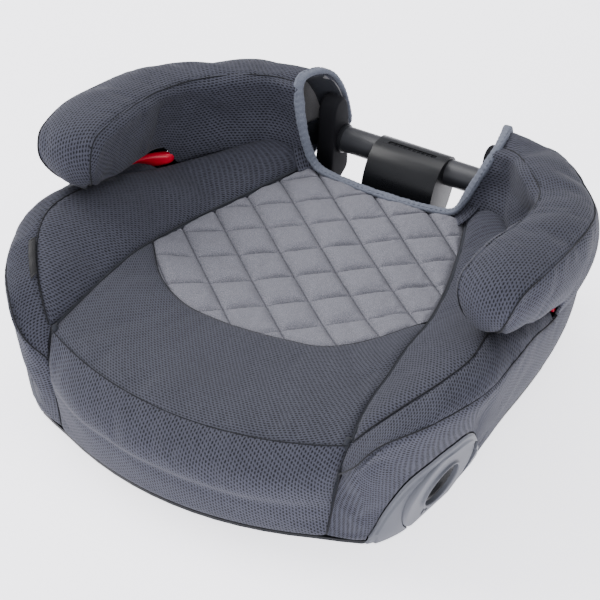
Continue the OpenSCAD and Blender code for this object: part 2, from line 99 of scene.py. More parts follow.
MID_LINE = [(0, -206, FRONT_H), (0, -180, MID_H - 1), (0, -150, MID_H), (0, -115, MID_H), (0, -70, MID_H),
            (0, -20, MID_H), (0, 18, MID_H), (0, 60, MID_H), (0, 100, MID_H), (0, 128, MID_H),
            (0, 139, MID_H - 1), (0, 148, MID_H - 1)]
# how far each side panel stands out between its seams, and the front band from its hem to the top
SIDE_BULGE = np.array([4, 4, 3.0])
FRONT_PUFF = [0, 3, 8, 15, 18, 11, 0]
# the cushion's rear edge and the covers' rear corner, counted in points of the seams
REAR = 10
CORNER = 11
# each panel stops just short of the next seam, where side_point and arm_point change to the next panel
WHOLE = 0.999
# armrest rails from the nose round to the open inner end
ARM_IN_LOW = [(194, -39, 148), (188, -34, 149), (184, -27, 149), (182, -19, 148), (181, -12, 147),
              (181, 4, 145), (183, 30, 140), (186, 58, 131), (171, 88, 120), (143, 116, 122),
              (117, 138, 123), (80, 147, 118)]
ARM_IN_TOP = [(193, -41, 148), (180, -53, 161), (175, -60, 184), (175, -56, 202), (177, -42, 209),
              (178, -8, 208), (181, 26, 202), (181, 58, 196), (171, 100, 188), (146, 130, 185),
              (122, 157, 176), (101, 168, 169)]
ARM_OUT_TOP = [(199, -42, 148), (214, -58, 161), (224, -68, 182), (229, -63, 198), (232, -49, 205),
               (236, -12, 205), (235, 32, 198), (231, 74, 190), (220, 110, 180), (197, 146, 171),
               (155, 187, 165), (90, 205, 162)]
ARM_OUT_LOW = [(198, -39, 148), (205, -37, 150), (213, -32, 150), (219, -25, 149), (223, -17, 148),
               (228, 0, 146), (230, 32, 137), (226, 66, 123), (214, 108, 103), (196, 148, 99),
               (162, 195, 97), (80, 225, 98)]
ARM_BULGE = np.array([3, 5, 7, 2.0])


def seat_point(s, v):
    """Point of the cushion: s along its side seam from the front, v across it from -1 to 1."""
    a, m, w = curve(SEAT_SEAM, s), curve(MID_LINE, s), np.abs(v)
    return np.stack([v*a[..., 0], m[..., 1] + (a[..., 1] - m[..., 1])*w**2,
                     m[..., 2] + (a[..., 2] - m[..., 2])*w**2.5], -1)


def side_point(s, v):
    """Point of the side: s from the front, v from 1 on the seat seam down to 4 at the hem."""
    seams = np.stack([curve(t, s) for t in (SEAT_SEAM, CREST_SEAM, WIDE_SEAM, HEM_SEAM)])
    k = np.clip(np.floor(v).astype(int), 1, 3)
    f = (v - k)[..., None]
    a = np.take_along_axis(seams, (k - 1)[None, ..., None], 0)[0]
    b = np.take_along_axis(seams, k[None, ..., None], 0)[0]
    away = unit(np.stack([b[..., 2] - a[..., 2], 0*k, a[..., 0] - b[..., 0]], -1))
    bulge = (SIDE_BULGE[k - 1]*np.minimum(1, s/2))[..., None]
    return a + (b - a)*f - away*bulge*np.sin(math.pi*f)


def front_point(w, v):
    """Point of the front band: w from the hem up to the front edge, v across it from -1 to 1."""
    q = SEAT_SEAM[0][0]/100*v
    top = np.stack([100*q, -205.7 + 14.12*q**2 + 0.76*q**4, FRONT_H + 3.25*q**2], -1)
    hem_x, hem_y, hem_z = HEM_SEAM[0]
    low = np.stack([hem_x*v, -216 + (216 + hem_y)*v**2, hem_z + 0*v], -1)
    p = low + (top - low)*w[..., None]
    p[..., 1] -= curve(FRONT_PUFF, w*6)[..., 0]*(1 - 0.55*np.abs(v)**6)
    return p


def arm_mid(k):
    """Middle of the armrest at k, from 0 at its nose to CORNER at its open end."""
    return sum(curve(r, k) for r in (ARM_IN_LOW, ARM_IN_TOP, ARM_OUT_TOP, ARM_OUT_LOW))/4


def arm_point(k, q):
    """Point of the armrest: k along it, q round it from its lower inner edge over the top."""
    rails = np.stack([curve(r, k) for r in (ARM_IN_LOW, ARM_IN_TOP, ARM_OUT_TOP, ARM_OUT_LOW)])
    i = np.clip(np.floor(q).astype(int), 0, 3)
    f = (q - i)[..., None]
    a = np.take_along_axis(rails, i[None, ..., None], 0)[0]
    b = np.take_along_axis(rails, ((i + 1) % 4)[None, ..., None], 0)[0]
    p = a + (b - a)*f
    return p + unit(p - arm_mid(k))*ARM_BULGE[i][..., None]*np.sin(math.pi*f)


def mesh_grid(rows, cols):
    return np.meshgrid(rows, cols, indexing="ij")


def shares(n, m):
    """Shares from 0 to 1 along the rows and the columns of a grid of n by m points."""
    return mesh_grid(np.linspace(0, 1, n), np.linspace(0, 1, m))


def normals(p):
    """Outward directions of a grid of points."""
    di, dj = np.gradient(p, axis=0), np.gradient(p, axis=1)
    return unit(np.cross(dj, di))


def arc(p, axis):
    """Length along one direction of a grid of points, measured from its middle."""
    step = np.linalg.norm(np.diff(p, axis=axis), axis=-1)
    total = np.concatenate([np.zeros_like(np.take(step, [0], axis)), np.cumsum(step, axis)], axis)
    middle = np.take(total, [total.shape[axis]//2], axis)
    return total - middle


def edge_distance(p):
    """Distances in mm from a grid's four edges: first row, last row, first column, last column."""
    i, j = arc(p, 0), arc(p, 1)
    return i - i[:1], i[-1:] - i, j - j[:, :1], j[:, -1:] - j


def unevenness(p, size, seed, count=9):
    """Gentle random field of about unit height over points, with swells about size mm across."""
    rng = np.random.default_rng(seed)
    total = np.zeros(p.shape[:-1])
    for _ in range(count):
        way = unit(rng.normal(size=3))
        total += np.sin(p @ way*(2*math.pi/(size*rng.uniform(0.7, 1.6))) + rng.uniform(0, 6.28))
    return total/math.sqrt(count)


def resample(field, n, m):
    """Field of values on a coarse grid, on one of n by m points."""
    a = np.linspace(0, field.shape[0] - 1, n)
    b = np.linspace(0, field.shape[1] - 1, m)
    i, j = np.minimum(a.astype(int), field.shape[0] - 2), np.minimum(b.astype(int), field.shape[1] - 2)
    u, v = (a - i)[:, None], (b - j)[None, :]
    g = lambda di, dj: field[np.ix_(i + di, j + dj)]
    return (g(0, 0)*(1 - u) + g(1, 0)*u)*(1 - v) + (g(0, 1)*(1 - u) + g(1, 1)*u)*v


def blur(field):
    """Field with every value averaged with its neighbours."""
    f = np.pad(field, 1, mode="edge")
    return (4*f[1:-1, 1:-1] + f[:-2, 1:-1] + f[2:, 1:-1] + f[1:-1, :-2] + f[1:-1, 2:])/8


def quad_faces(ids):
    """Faces between neighbouring points of a grid of point numbers."""
    return np.stack([ids[:-1, :-1], ids[:-1, 1:], ids[1:, 1:], ids[1:, :-1]], -1).reshape(-1, 4)


def running_length(path):
    """Length along a path at each of its points."""
    return np.concatenate([[0], np.cumsum(np.linalg.norm(np.diff(path, axis=0), axis=1))])


# --- cloth simulation
PUFFS = {}
CLOTH_JOBS = []
CLOTH_FRAMES = 20
CLOTH = {"quality": 6, "mass": 0.15, "tension_stiffness": 12, "compression_stiffness": 12,
         "shear_stiffness": 4, "bending_stiffness": 0.4, "use_pressure": True,
         "vertex_group_mass": "pinned"}


def cloth_sheet(name, points, pins, pressure, slack):
    """Sheet over a grid of points in mm, held where pins is set and blown up by pressure."""
    mesh = bpy.data.meshes.new("cloth_" + name)
    faces = quad_faces(np.arange(pins.size).reshape(pins.shape))
    mesh.from_pydata((points.reshape(-1, 3)*MM).tolist(), [], faces.tolist())
    obj = bpy.data.objects.new("cloth_" + name, mesh)
    scene.collection.objects.link(obj)
    group = obj.vertex_groups.new(name="pinned")
    group.add(np.flatnonzero(pins.ravel()).tolist(), 1.0, "REPLACE")
    cloth = obj.modifiers.new("Cloth", "CLOTH")
    settings = cloth.settings
    for key, value in CLOTH.items():
        setattr(settings, key, value)
    settings.uniform_pressure_force = pressure
    settings.shrink_min = settings.shrink_max = -slack
    settings.effector_weights.gravity = 0
    cloth.collision_settings.use_collision = False
    cloth.point_cache.frame_start = 1
    cloth.point_cache.frame_end = CLOTH_FRAMES
    return obj


def run_cloth():
    """Simulates every planned panel at once and keeps how far each point moved outward, in mm."""
    made = [(name, points, cap, cloth_sheet(name, points, pins, pressure, slack))
            for name, points, pins, pressure, slack, cap in CLOTH_JOBS]
    for frame_number in range(1, CLOTH_FRAMES + 1):
        scene.frame_set(frame_number)
    graph = bpy.context.evaluated_depsgraph_get()
    for name, points, cap, obj in made:
        result = obj.evaluated_get(graph).data
        co = np.zeros(len(result.vertices)*3)
        result.vertices.foreach_get("co", co)
        moved = co.reshape(points.shape)/MM - points
        out = np.einsum("ijk,ijk->ij", moved, normals(points))
        PUFFS[name] = blur(cap*np.tanh(out/cap))
        mesh = obj.data
        bpy.data.objects.remove(obj)
        bpy.data.meshes.remove(mesh)
    scene.frame_set(1)


def pinned_edges(points):
    """Marks the points on a grid's four edges."""
    pins = np.zeros(points.shape[:2], bool)
    pins[[0, -1]] = True
    pins[:, [0, -1]] = True
    return pins


# --- materials
def tone(r, g, b):
    """Linear colour of a display colour given in 0 to 255."""
    f = lambda c: c/12.92 if c <= 0.04045 else ((c + 0.055)/1.055)**2.4
    return (f(r/255), f(g/255), f(b/255), 1)


def shade(colour, factor):
    """Colour made lighter or darker."""
    return tuple(min(1, c*factor) for c in colour[:3]) + (1,)


class Look:
    """Small helper that builds one node material."""

    def __init__(self, name, roughness, **inputs):
        self.mat = bpy.data.materials.new(name)
        self.mat.use_nodes = True
        self.tree = self.mat.node_tree
        self.tree.nodes.clear()
        self.out = self.tree.nodes.new("ShaderNodeOutputMaterial")
        self.shader = self.tree.nodes.new("ShaderNodeBsdfPrincipled")
        self.tree.links.new(self.shader.outputs["BSDF"], self.out.inputs["Surface"])
        self.shader.inputs["Roughness"].default_value = roughness
        for key, value in inputs.items():
            self.shader.inputs[key.replace("_", " ")].default_value = value

    def put(self, socket, value):
        if isinstance(value, bpy.types.NodeSocket):
            self.tree.links.new(value, socket)
        else:
            socket.default_value = value

    def node(self, kind, inputs, **settings):
        """New node with its settings made and its inputs, by name or number, set or linked."""
        n = self.tree.nodes.new(kind)
        for key, value in settings.items():
            setattr(n, key, value)
        for key, value in inputs.items():
            self.put(n.inputs[key], value)
        return n

    def math(self, operation, a, b=0.0, c=0.0):
        return self.node("ShaderNodeMath", {0: a, 1: b, 2: c}, operation=operation).outputs[0]

    def times(self, a, b):
        return self.math("MULTIPLY", a, b)

    def plus(self, a, b):
        return self.math("ADD", a, b)

    def ramp(self, value, low, high, to_low=0.0, to_high=1.0):
        inputs = dict(enumerate((value, low, high, to_low, to_high)))
        return self.node("ShaderNodeMapRange", inputs, interpolation_type="SMOOTHSTEP").outputs[0]

    def mix(self, factor, a, b):
        return self.node("ShaderNodeMix", {0: factor, 6: a, 7: b}, data_type="RGBA").outputs[2]

    def uv(self):
        """The cloth's own coordinates in metres: along, across and both."""
        both_ways = self.node("ShaderNodeUVMap", {}, uv_map="weave").outputs[0]
        split = self.node("ShaderNodeSeparateXYZ", {0: both_ways})
        return split.outputs[0], split.outputs[1], both_ways

    def place(self):
        return self.node("ShaderNodeTexCoord", {}).outputs["Object"]

    def noise(self, vector, scale, detail=2.0, rough=0.5):
        inputs = {"Vector": vector, "Scale": scale, "Detail": detail, "Roughness": rough}
        return self.node("ShaderNodeTexNoise", inputs).outputs["Fac"]

    def cells(self, scale):
        inputs = {"Vector": self.place(), "Scale": scale}
        return self.node("ShaderNodeTexVoronoi", inputs).outputs["Distance"]

    def bump(self, height, distance, strength):
        inputs = {"Strength": strength, "Distance": distance, "Height": height}
        return self.node("ShaderNodeBump", inputs).outputs[0]

    def finish(self, colour, normal=None, roughness=None):
        self.put(self.shader.inputs["Base Color"], colour)
        if normal is not None:
            self.put(self.shader.inputs["Normal"], normal)
        if roughness is not None:
            self.put(self.shader.inputs["Roughness"], roughness)
        return self.mat


def spacer_mesh(name, along, across, yarn, hole, strength=1.0):
    """Knitted spacer mesh: staggered narrow openings, along and across mm apart, between fuzzy yarns; the
    openings take the dark colour hole as painted shade inside them.
    """
    hole_long, hole_wide, slant = 0.40, 0.31, 0.10
    k = Look(name, 0.86, Sheen_Weight=0.05, Sheen_Roughness=0.5, Specular_IOR_Level=0.2)
    u, v, uv = k.uv()
    wobble = k.math("MULTIPLY_ADD", k.noise(uv, 420, 1.0), 0.44, -0.22)
    u = k.plus(k.times(u, 1/(along*MM)), wobble)
    v = k.plus(k.times(v, 1/(across*MM)), wobble)
    row = k.math("FLOOR", v)
    u = k.math("MULTIPLY_ADD", k.math("FLOORED_MODULO", row, 2.0), 0.5, u)
    fu = k.times(k.math("SUBTRACT", k.math("FRACT", u), 0.5), 1/hole_long)
    fv = k.math("SUBTRACT", k.math("FRACT", v), 0.5)
    fv = k.times(k.math("MULTIPLY_ADD", fu, slant, fv), 1/hole_wide)
    reach = k.math("SQRT", k.plus(k.times(fu, fu), k.times(fv, fv)))
    opening = k.ramp(reach, 1.25, 0.45)
    strand = k.noise(k.place(), 1500, 2.0, 0.6)
    patch = k.noise(k.place(), 22, 3.0)
    face = k.mix(k.ramp(strand, 0.3, 0.75), yarn, shade(yarn, 1.55))
    face = k.mix(k.ramp(patch, 0.3, 0.7, 0.0, 0.14), face, shade(yarn, 0.6))
    # the openings are painted dark, as shade inside the mesh
    colour = k.mix(k.times(opening, 0.92*strength), face, hole)
    height = k.math("SUBTRACT", k.times(strand, 0.15), opening)
    return k.finish(colour, k.bump(height, 0.0005, 0.7*strength), k.ramp(strand, 0.2, 0.8, 0.78, 0.94))


# the second colour is painted shade for the mesh openings
SLATE, OPENING_SHADE = tone(58, 59, 69), tone(12, 13, 17)
MESH_SIDE = spacer_mesh("mesh_side", 4.0, 2.5, SLATE, OPENING_SHADE)
MESH_SEAT = spacer_mesh("mesh_seat", 3.5, 2.2, tone(59, 60, 69), OPENING_SHADE, 0.9)
MESH_FRONT = spacer_mesh("mesh_front", 4.0, 2.6, tone(59, 60, 70), OPENING_SHADE)


def melange():
    """Quilted knit: mottled grey yarns, with painted shade of the quilt grooves along the quilt lines,
    broken into stitch dashes.
    """
    k = Look("melange_quilt", 0.92, Sheen_Weight=0.05, Sheen_Roughness=0.5, Specular_IOR_Level=0.15)
    x, y, uv = k.uv()
    speck = k.noise(uv, 1250, 2.0, 0.75)
    cloud = k.noise(uv, 260, 2.0)
    face = k.mix(k.ramp(speck, 0.32, 0.68), tone(78, 78, 86), tone(132, 132, 140))
    face = k.mix(k.ramp(cloud, 0.3, 0.7, 0.0, 0.35), face, tone(94, 94, 101))
    # painted shade of the quilt grooves, gathered over both families of lines
    dark = 0.0
    # per family: direction, offset, groove width, strength of its painted shade and how far the stitch
    # gaps lighten it; family A is shaded more as its grooves face away from the light
    for way, offset, width, shade_weight, gap_depth in ((1, A_OFF, 0.7, 0.62, 0.2), (-1, B_OFF, 0.5, 0.5, 0.55)):
        across = k.math("MULTIPLY_ADD", x, way*QX/MM, k.times(y, QY/MM))
        along = k.math("MULTIPLY_ADD", x, -way*QY/MM, k.times(y, QX/MM))
        cell = k.math("FRACT", k.math("MULTIPLY_ADD", across, 1/QUILT, 0.5 - offset/QUILT))
        near = k.times(k.math("ABSOLUTE", k.math("SUBTRACT", cell, 0.5)), QUILT)
        line = k.ramp(near, width*1.6, width*0.3)
        stitch = k.math("FRACT", k.times(along, 1/STITCH_PITCH))
        gap = k.ramp(k.math("ABSOLUTE", k.math("SUBTRACT", stitch, 0.5)), 0.16, 0.30)
        groove_shade = k.times(line, k.math("MULTIPLY_ADD", gap, -gap_depth, 1.0))
        dark = k.math("MAXIMUM", k.times(groove_shade, shade_weight), dark)
    # the grooves take a dark colour as painted shade
    colour = k.mix(dark, face, tone(42, 43, 50))
    height = k.math("MULTIPLY_ADD", dark, -1.0, k.times(speck, 0.5))
    return k.finish(colour, k.bump(height, 0.0004, 0.7), k.ramp(speck, 0.2, 0.8, 0.82, 0.96))


# two families of quilt lines, QUILT mm apart, square to (QX, QY) and (-QX, QY), and their offsets
QX, QY = 0.643, 0.766
QUILT, STITCH_PITCH = 36.2, 3.6
A_OFF, B_OFF = -7.0, 1.5
MELANGE = melange()


def binding_look():
    """Woven tape with a slanting twill."""
    k = Look("binding_tape", 0.82, Sheen_Weight=0.08, Sheen_Roughness=0.4, Specular_IOR_Level=0.3)
    u, v, _ = k.uv()
    twill = k.ramp(k.math("SINE", k.times(k.plus(u, v), 5200.0)), -0.6, 0.6)
    fuzz = k.noise(k.place(), 1300, 2.0, 0.6)
    face = k.mix(fuzz, tone(78, 82, 93), tone(126, 131, 145))
    colour = k.mix(k.times(twill, 0.3), face, tone(52, 56, 66))
    height = k.plus(k.times(twill, 0.6), fuzz)
    return k.finish(colour, k.bump(height, 0.0003, 0.7))


def plain_cloth(name, light, dark, roughness=0.9):
    """Close plain weave, for lining, tag and thread."""
    k = Look(name, roughness, Sheen_Weight=0.05, Sheen_Roughness=0.5, Specular_IOR_Level=0.3)
    place = k.place()
    wave = k.node("ShaderNodeTexWave", {"Vector": place, "Scale": 260, "Distortion": 1.5},
                  wave_type="BANDS", bands_direction="DIAGONAL")
    fuzz = k.noise(place, 900, 2.0, 0.6)
    colour = k.mix(fuzz, tone(*dark), tone(*light))
    height = k.plus(wave.outputs["Fac"], fuzz)
    return k.finish(colour, k.bump(height, 0.0003, 0.5))


def moulded(name, base, edge_tone, roughness, grain, depth, specular=0.5):
    """Moulded plastic: spark-eroded grain depth mm deep, uneven gloss, paler colour on sharp edges."""
    k = Look(name, roughness, Specular_IOR_Level=specular)
    base = tone(*base)
    place = k.place()
    fine = k.noise(place, grain, 2.0, 0.65)
    cloud = k.noise(place, 14, 3.0)
    point = k.node("ShaderNodeNewGeometry", {}).outputs["Pointiness"]
    edge = k.ramp(point, 0.53, 0.62, 0.0, 0.5)
    colour = k.mix(k.ramp(cloud, 0.3, 0.7, 0.0, 0.35), base, shade(base, 1.25))
    # sharp convex edges take the paler colour
    colour = k.mix(edge, colour, tone(*edge_tone))
    gloss = k.plus(k.ramp(cloud, 0.25, 0.75, roughness - 0.07, roughness + 0.07),
                   k.math("MULTIPLY_ADD", fine, 0.12, -0.06))
    return k.finish(colour, k.bump(fine, depth*MM, 0.6), gloss)


def steel():
    k = Look("zinc_steel", 0.34, Metallic=0.9)
    spangle = k.cells(320)
    brushed = k.noise(k.place(), 700, 3.0, 0.7)
    colour = k.mix(spangle, tone(196, 198, 202), tone(150, 153, 158))
    return k.finish(colour, k.bump(brushed, 0.0001, 0.4), k.ramp(brushed, 0.2, 0.8, 0.24, 0.46))


def foam_look():
    k = Look("open_cell_foam", 0.95)
    cells = k.cells(700)
    colour = k.mix(cells, tone(196, 192, 178), tone(232, 229, 218))
    return k.finish(colour, k.bump(cells, 0.0005, 0.8))


BINDING = binding_look()
LINING = plain_cloth("sleeve_lining", (158, 156, 158), (122, 121, 124))
# dark backing for the backs of panels and loose cloth: painted shade where the back is seen only in shadow
SHADED_BACKING = plain_cloth("panel_backing_painted_shade", (44, 46, 54), (30, 32, 38))
TAG = plain_cloth("tag_weave", (34, 34, 37), (15, 15, 17), 0.6)
# near-black seam thread, partly painted shade of the seam grooves
SEAM_SHADE_THREAD = plain_cloth("seam_thread", (24, 25, 32), (13, 14, 18))
BLACK = moulded("black_plastic", (22, 23, 26), (46, 47, 51), 0.42, 900, 0.12, 0.16)
MATT = moulded("matt_black", (30, 30, 33), (50, 50, 55), 0.62, 900, 0.12, 0.02)
SATIN = moulded("satin_black", (21, 22, 25), (46, 47, 51), 0.30, 1100, 0.08, 0.4)
AXLE = moulded("axle_black", (30, 31, 35), (58, 59, 64), 0.38, 1400, 0.05, 0.7)
GREY = moulded("grey_plastic", (76, 78, 85), (100, 102, 109), 0.5, 1100, 0.12, 0.35)
GLOSS = moulded("gloss_button", (20, 20, 22), (40, 40, 43), 0.22, 500, 0.01, 0.25)
RED = moulded("red_plastic", (200, 0, 44), (216, 30, 74), 0.36, 800, 0.04)
RUBBER = moulded("rubber_feet", (30, 30, 31), (48, 48, 49), 0.75, 600, 0.1)
STEEL = steel()
FOAM = foam_look()
SLOT_LOOKS = {"black_plastic": BLACK, "axle_black": AXLE, "grey_plastic": GREY, "gloss_button": GLOSS,
              "red_plastic": RED, "mesh_fabric": MESH_SIDE, "melange_fabric": MELANGE,
              "binding_fabric": BINDING, "label_fabric": TAG, "foam": FOAM, "rubber_feet": RUBBER,
              "zinc_steel": STEEL}


# --- mesh makers
def add_object(name, verts, faces, mats, uvs=None, mat_ids=None):
    """Adds a smooth-shaded mesh from points in mm and rides it on the base."""
    mesh = bpy.data.meshes.new(name)
    mesh.from_pydata((np.asarray(verts, float)*MM).tolist(), [], [tuple(map(int, f)) for f in faces])
    for m in mats:
        mesh.materials.append(m)
    if mat_ids is not None:
        mesh.polygons.foreach_set("material_index", np.asarray(mat_ids, np.int32))
    if uvs is not None:
        layer = mesh.uv_layers.new(name="weave")
        loops = np.zeros(len(mesh.loops), np.int32)
        mesh.loops.foreach_get("vertex_index", loops)
        layer.data.foreach_set("uv", (np.asarray(uvs, float)[loops]).astype(np.float32).ravel())
    mesh.polygons.foreach_set("use_smooth", [True]*len(mesh.polygons))
    mesh.update()
    obj = bpy.data.objects.new(name, mesh)
    scene.collection.objects.link(obj)
    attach(obj, "base")
    return obj


def shell(name, top, thick, face_mat, back_mat, mirror=False, swap=False, uv=None, pale_from=2.0):
    """Closed piece of cloth under a grid of points: face, back and edges.

    Rows past the share pale_from of the grid have the pale lining on the back; the other rows have
    back_mat, mostly the dark backing painted as shade."""
    n, m = top.shape[:2]
    low = top - normals(top)*thick
    if uv is None:
        u, v = arc(top, 0)*MM, arc(top, 1)*MM
        uv = np.stack([v, u] if swap else [u, v], -1)
    ids = np.arange(n*m).reshape(n, m)
    front = quad_faces(ids)
    ring = np.concatenate([ids[0, :-1], ids[:-1, -1], ids[-1, :0:-1], ids[:0:-1, 0]])
    after = np.roll(ring, -1)
    rim = np.stack([ring, ring + n*m, after + n*m, after], -1)
    faces = np.concatenate([front, front[:, ::-1] + n*m, rim])
    verts = np.concatenate([top.reshape(-1, 3), low.reshape(-1, 3)])
    if mirror:
        verts = verts*[-1, 1, 1]
        faces = faces[:, ::-1]
    count = len(front)
    back = np.where(np.arange(count)//(m - 1) > pale_from*n, 2, 1)
    mat_ids = np.concatenate([np.zeros(count), back, np.zeros(len(ring))])
    uvs = np.concatenate([uv.reshape(-1, 2)]*2)
    return add_object(name, verts, faces, [face_mat, back_mat, LINING], uvs, mat_ids)


def ring_faces(rings, sides):
    """Faces between rings of points, and the point numbers ring by ring."""
    ids = np.arange(rings*sides).reshape(rings, sides)
    after = np.roll(ids, -1, 1)
    faces = np.stack([ids[:-1], after[:-1], after[1:], ids[1:]], -1).reshape(-1, 4)
    return [tuple(f) for f in faces], ids


def capped_rings(rings, sides):
    """Faces of a closed solid made of rings of points."""
    faces, ids = ring_faces(rings, sides)
    return faces + [tuple(ids[0][::-1]), tuple(ids[-1])]


def tube(path, radius, sides):
    """Points and faces of a round tube along a path in mm."""
    t = unit(np.gradient(path, axis=0))
    a = np.zeros_like(t)
    a[0] = unit(np.cross(t[0], [0.3, 0.2, 1.0]))
    for i in range(1, len(path)):
        a[i] = unit(a[i - 1] - t[i]*(a[i - 1] @ t[i]))
    b = np.cross(t, a)
    ang = np.linspace(0, 2*math.pi, sides, endpoint=False)[None, :, None]
    ring = path[:, None] + radius*(np.cos(ang)*a[:, None] + np.sin(ang)*b[:, None])
    verts = np.concatenate([ring.reshape(-1, 3), path[:1], path[-1:]])
    faces, ids = ring_faces(len(path), sides)
    after = np.roll(ids, -1, 1)
    faces += [(ids.size, after[0, j], ids[0, j]) for j in range(sides)]
    faces += [(ids.size + 1, ids[-1, j], after[-1, j]) for j in range(sides)]
    return verts, faces


def join_parts(parts):
    """One list of points and faces from several."""
    verts, faces, base = [], [], 0
    for v, f in parts:
        verts.append(v)
        faces += [tuple(int(i) + base for i in face) for face in f]
        base += len(v)
    return np.concatenate(verts), faces


def apply_modifiers(obj):
    """Bakes an object's modifiers into its mesh."""
    graph = bpy.context.evaluated_depsgraph_get()
    mesh = bpy.data.meshes.new_from_object(obj.evaluated_get(graph))
    obj.modifiers.clear()
    old, obj.data = obj.data, mesh
    bpy.data.meshes.remove(old)


def edit_mesh(mesh, change):
    """Lets the function change work on a mesh's editable form."""
    work = bmesh.new()
    work.from_mesh(mesh)
    change(work)
    work.to_mesh(mesh)
    work.free()


def face_outward(work):
    bmesh.ops.recalc_face_normals(work, faces=work.faces)


def weld(work):
    """Joins double points and turns the faces outward."""
    bmesh.ops.remove_doubles(work, verts=work.verts, dist=1e-6)
    face_outward(work)


def mirror_x(work):
    for v in work.verts:
        v.co.x = -v.co.x
    bmesh.ops.reverse_faces(work, faces=work.faces)


def soften(obj, width, segments, angle):
    """Rounds a hard piece's edges, width in mm, by a modifier."""
    bevel = obj.modifiers.new("bevel", "BEVEL")
    bevel.width = width*MM
    bevel.segments = segments
    bevel.limit_method = "ANGLE"
    bevel.angle_limit = math.radians(angle)
    bevel.harden_normals = False


def smooth_by_angle(obj, angle):
    obj.data.set_sharp_from_angle(angle=math.radians(angle))


def round_edges(obj, width, segments):
    """Rounds a moulding's edges for good and shades it evenly."""
    soften(obj, width, segments, 45)
    apply_modifiers(obj)
    smooth_by_angle(obj, 38)


def prism(outline, z0, z1, to_world=lambda p: p):
    """Closed prism over an (x, y) outline between two heights, carried into place."""
    n = len(outline)
    verts = [(x, y, z) for z in (z0, z1) for x, y in outline]
    faces = [tuple(range(n))[::-1], tuple(range(n, 2*n))]
    faces += [(i, (i + 1) % n, n + (i + 1) % n, n + i) for i in range(n)]
    return np.array([to_world(np.array(v, float)) for v in verts]), faces


def lathe(profile, count, to_world, closed=False):
    """Turned shape from (radius, height) points; a closed profile leaves a hole in the middle."""
    ang = np.linspace(0, 2*math.pi, count, endpoint=False)
    verts = [to_world(np.array([r*math.cos(a), r*math.sin(a), h])) for r, h in profile for a in ang]
    rows = len(profile)
    faces = []
    for i in range(rows if closed else rows - 1):
        for j in range(count):
            k, nx = (j + 1) % count, (i + 1) % rows
            faces.append((i*count + j, i*count + k, nx*count + k, nx*count + j))
    if not closed:
        if profile[0][0] > 0:
            faces.append(tuple(range(count))[::-1])
        if profile[-1][0] > 0:
            faces.append(tuple(range((rows - 1)*count, rows*count)))
    return np.array(verts), faces


def extrude_profile(name, outline, x0, x1, mat):
    """Solid from a closed outline of (y, z) points, from x0 to x1."""
    verts, faces = prism(outline, x0, x1, lambda p: p[[2, 0, 1]])
    obj = add_object(name, verts, faces, [mat])
    edit_mesh(obj.data, face_outward)
    return obj


def rounded_outline(points, radius, steps=5):
    """Closed outline with every corner rounded."""
    p = np.asarray(points, float)
    out = []
    for i in range(len(p)):
        a, b, c = p[i - 1], p[i], p[(i + 1) % len(p)]
        r = min(radius, 0.45*np.linalg.norm(a - b), 0.45*np.linalg.norm(c - b))
        u, v = b + unit(a - b)*r, b + unit(c - b)*r
        for t in np.linspace(0, 1, steps + 1):
            out.append(tuple((1 - t)**2*u + 2*t*(1 - t)*b + t*t*v))
    return out


def cut(obj, cutter_verts, cutter_faces, solver="EXACT"):
    """Takes a closed shape away from a hard piece."""
    mesh = bpy.data.meshes.new("cutter")
    mesh.from_pydata((np.asarray(cutter_verts, float)*MM).tolist(), [], cutter_faces)
    edit_mesh(mesh, face_outward)
    tool = bpy.data.objects.new("cutter", mesh)
    scene.collection.objects.link(tool)
    mod = obj.modifiers.new("cut", "BOOLEAN")
    mod.operation = "DIFFERENCE"
    mod.solver = solver
    mod.object = tool
    apply_modifiers(obj)
    bpy.data.objects.remove(tool)
    bpy.data.meshes.remove(mesh)


def sew(obj, slot, *nodes, fill=None):
    """Hides the CAD nodes that a piece stands for; slot, the material slot, and fill, the padding of a
    soft piece, are not used.
    """
    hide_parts(*nodes)


# --- padded panels
# the insert's front edge along the seat seam from left to right, and the side cover's top below the band
INSERT_FRONT = [4.49, 3.83, 3.56, 3.56, 3.62, 3.70, 3.79, 4.24, 5.10]
COVER_TOP = [0.04, 0.30, 0.45, 0.55, 0.61, 0.66, 0.66, 0.40, 0.14]
# the side cover's ends along the seams, and how far the lower side panel's hem lifts at the rear
COVER_FROM, COVER_TO = 1.05, 4.8
REAR_LIFT = 0.52
CLOTH_T = 2.6
# a panel is drawn in over about ROLL mm beside its seams, and is uneven by SWELL mm in waves of SWELL_SIZE
ROLL = 3.6
SWELL, SWELL_SIZE = 0.35, 46
# how far the inner armrest panel's foot goes down behind the belt slot
INNER_FOOT = [20, 19, 15, 13, 12, 12, 12, 9, 4]


def insert_edge(v):
    """Where the insert begins along the seat seam, at v across the seat."""
    return curve(INSERT_FRONT, 4*(v + 1))[..., 0]


def cover_edge(s):
    """Where the lower side panel ends: at the hem, the side cover or the rear opening."""
    share = curve(COVER_TOP, 8*(s - COVER_FROM)/(COVER_TO - COVER_FROM))[..., 0]
    covered = (s > COVER_FROM) & (s < COVER_TO)
    low = np.where(covered, 4 - share, 4.0)
    return np.where(s > 9, 4 - REAR_LIFT*np.clip((s - 9)/0.6, 0, 1), low)


def puckers(along, away, period, height, reach=4.0):
    """Small gathers beside a sewn seam."""
    phase = 2*math.pi*along/period + 0.9*np.sin(along/11.0) + 0.5*np.sin(along/4.3)
    return height*np.sin(phase)*np.exp(-np.abs(away)/reach)*(1 - np.exp(-(away/1.2)**2))


PANELS = []


def panel(name, place, fine, coarse, pressure, cap, dips, slack=0.012, pins=None, **finish):
    """Plans one fabric panel; place maps two shares from 0 to 1 onto the cover.

    fine and coarse are the grids of its mesh and of its cloth, cap is the highest puff in mm, and
    dips are the depths in mm to which its four edges are drawn in."""
    points = place(*shares(*coarse))
    held = pinned_edges(points)
    if pins is not None:
        held |= pins(points)
    CLOTH_JOBS.append((name, points, held, pressure, slack, cap))
    PANELS.append((name, place, fine, dips, finish))


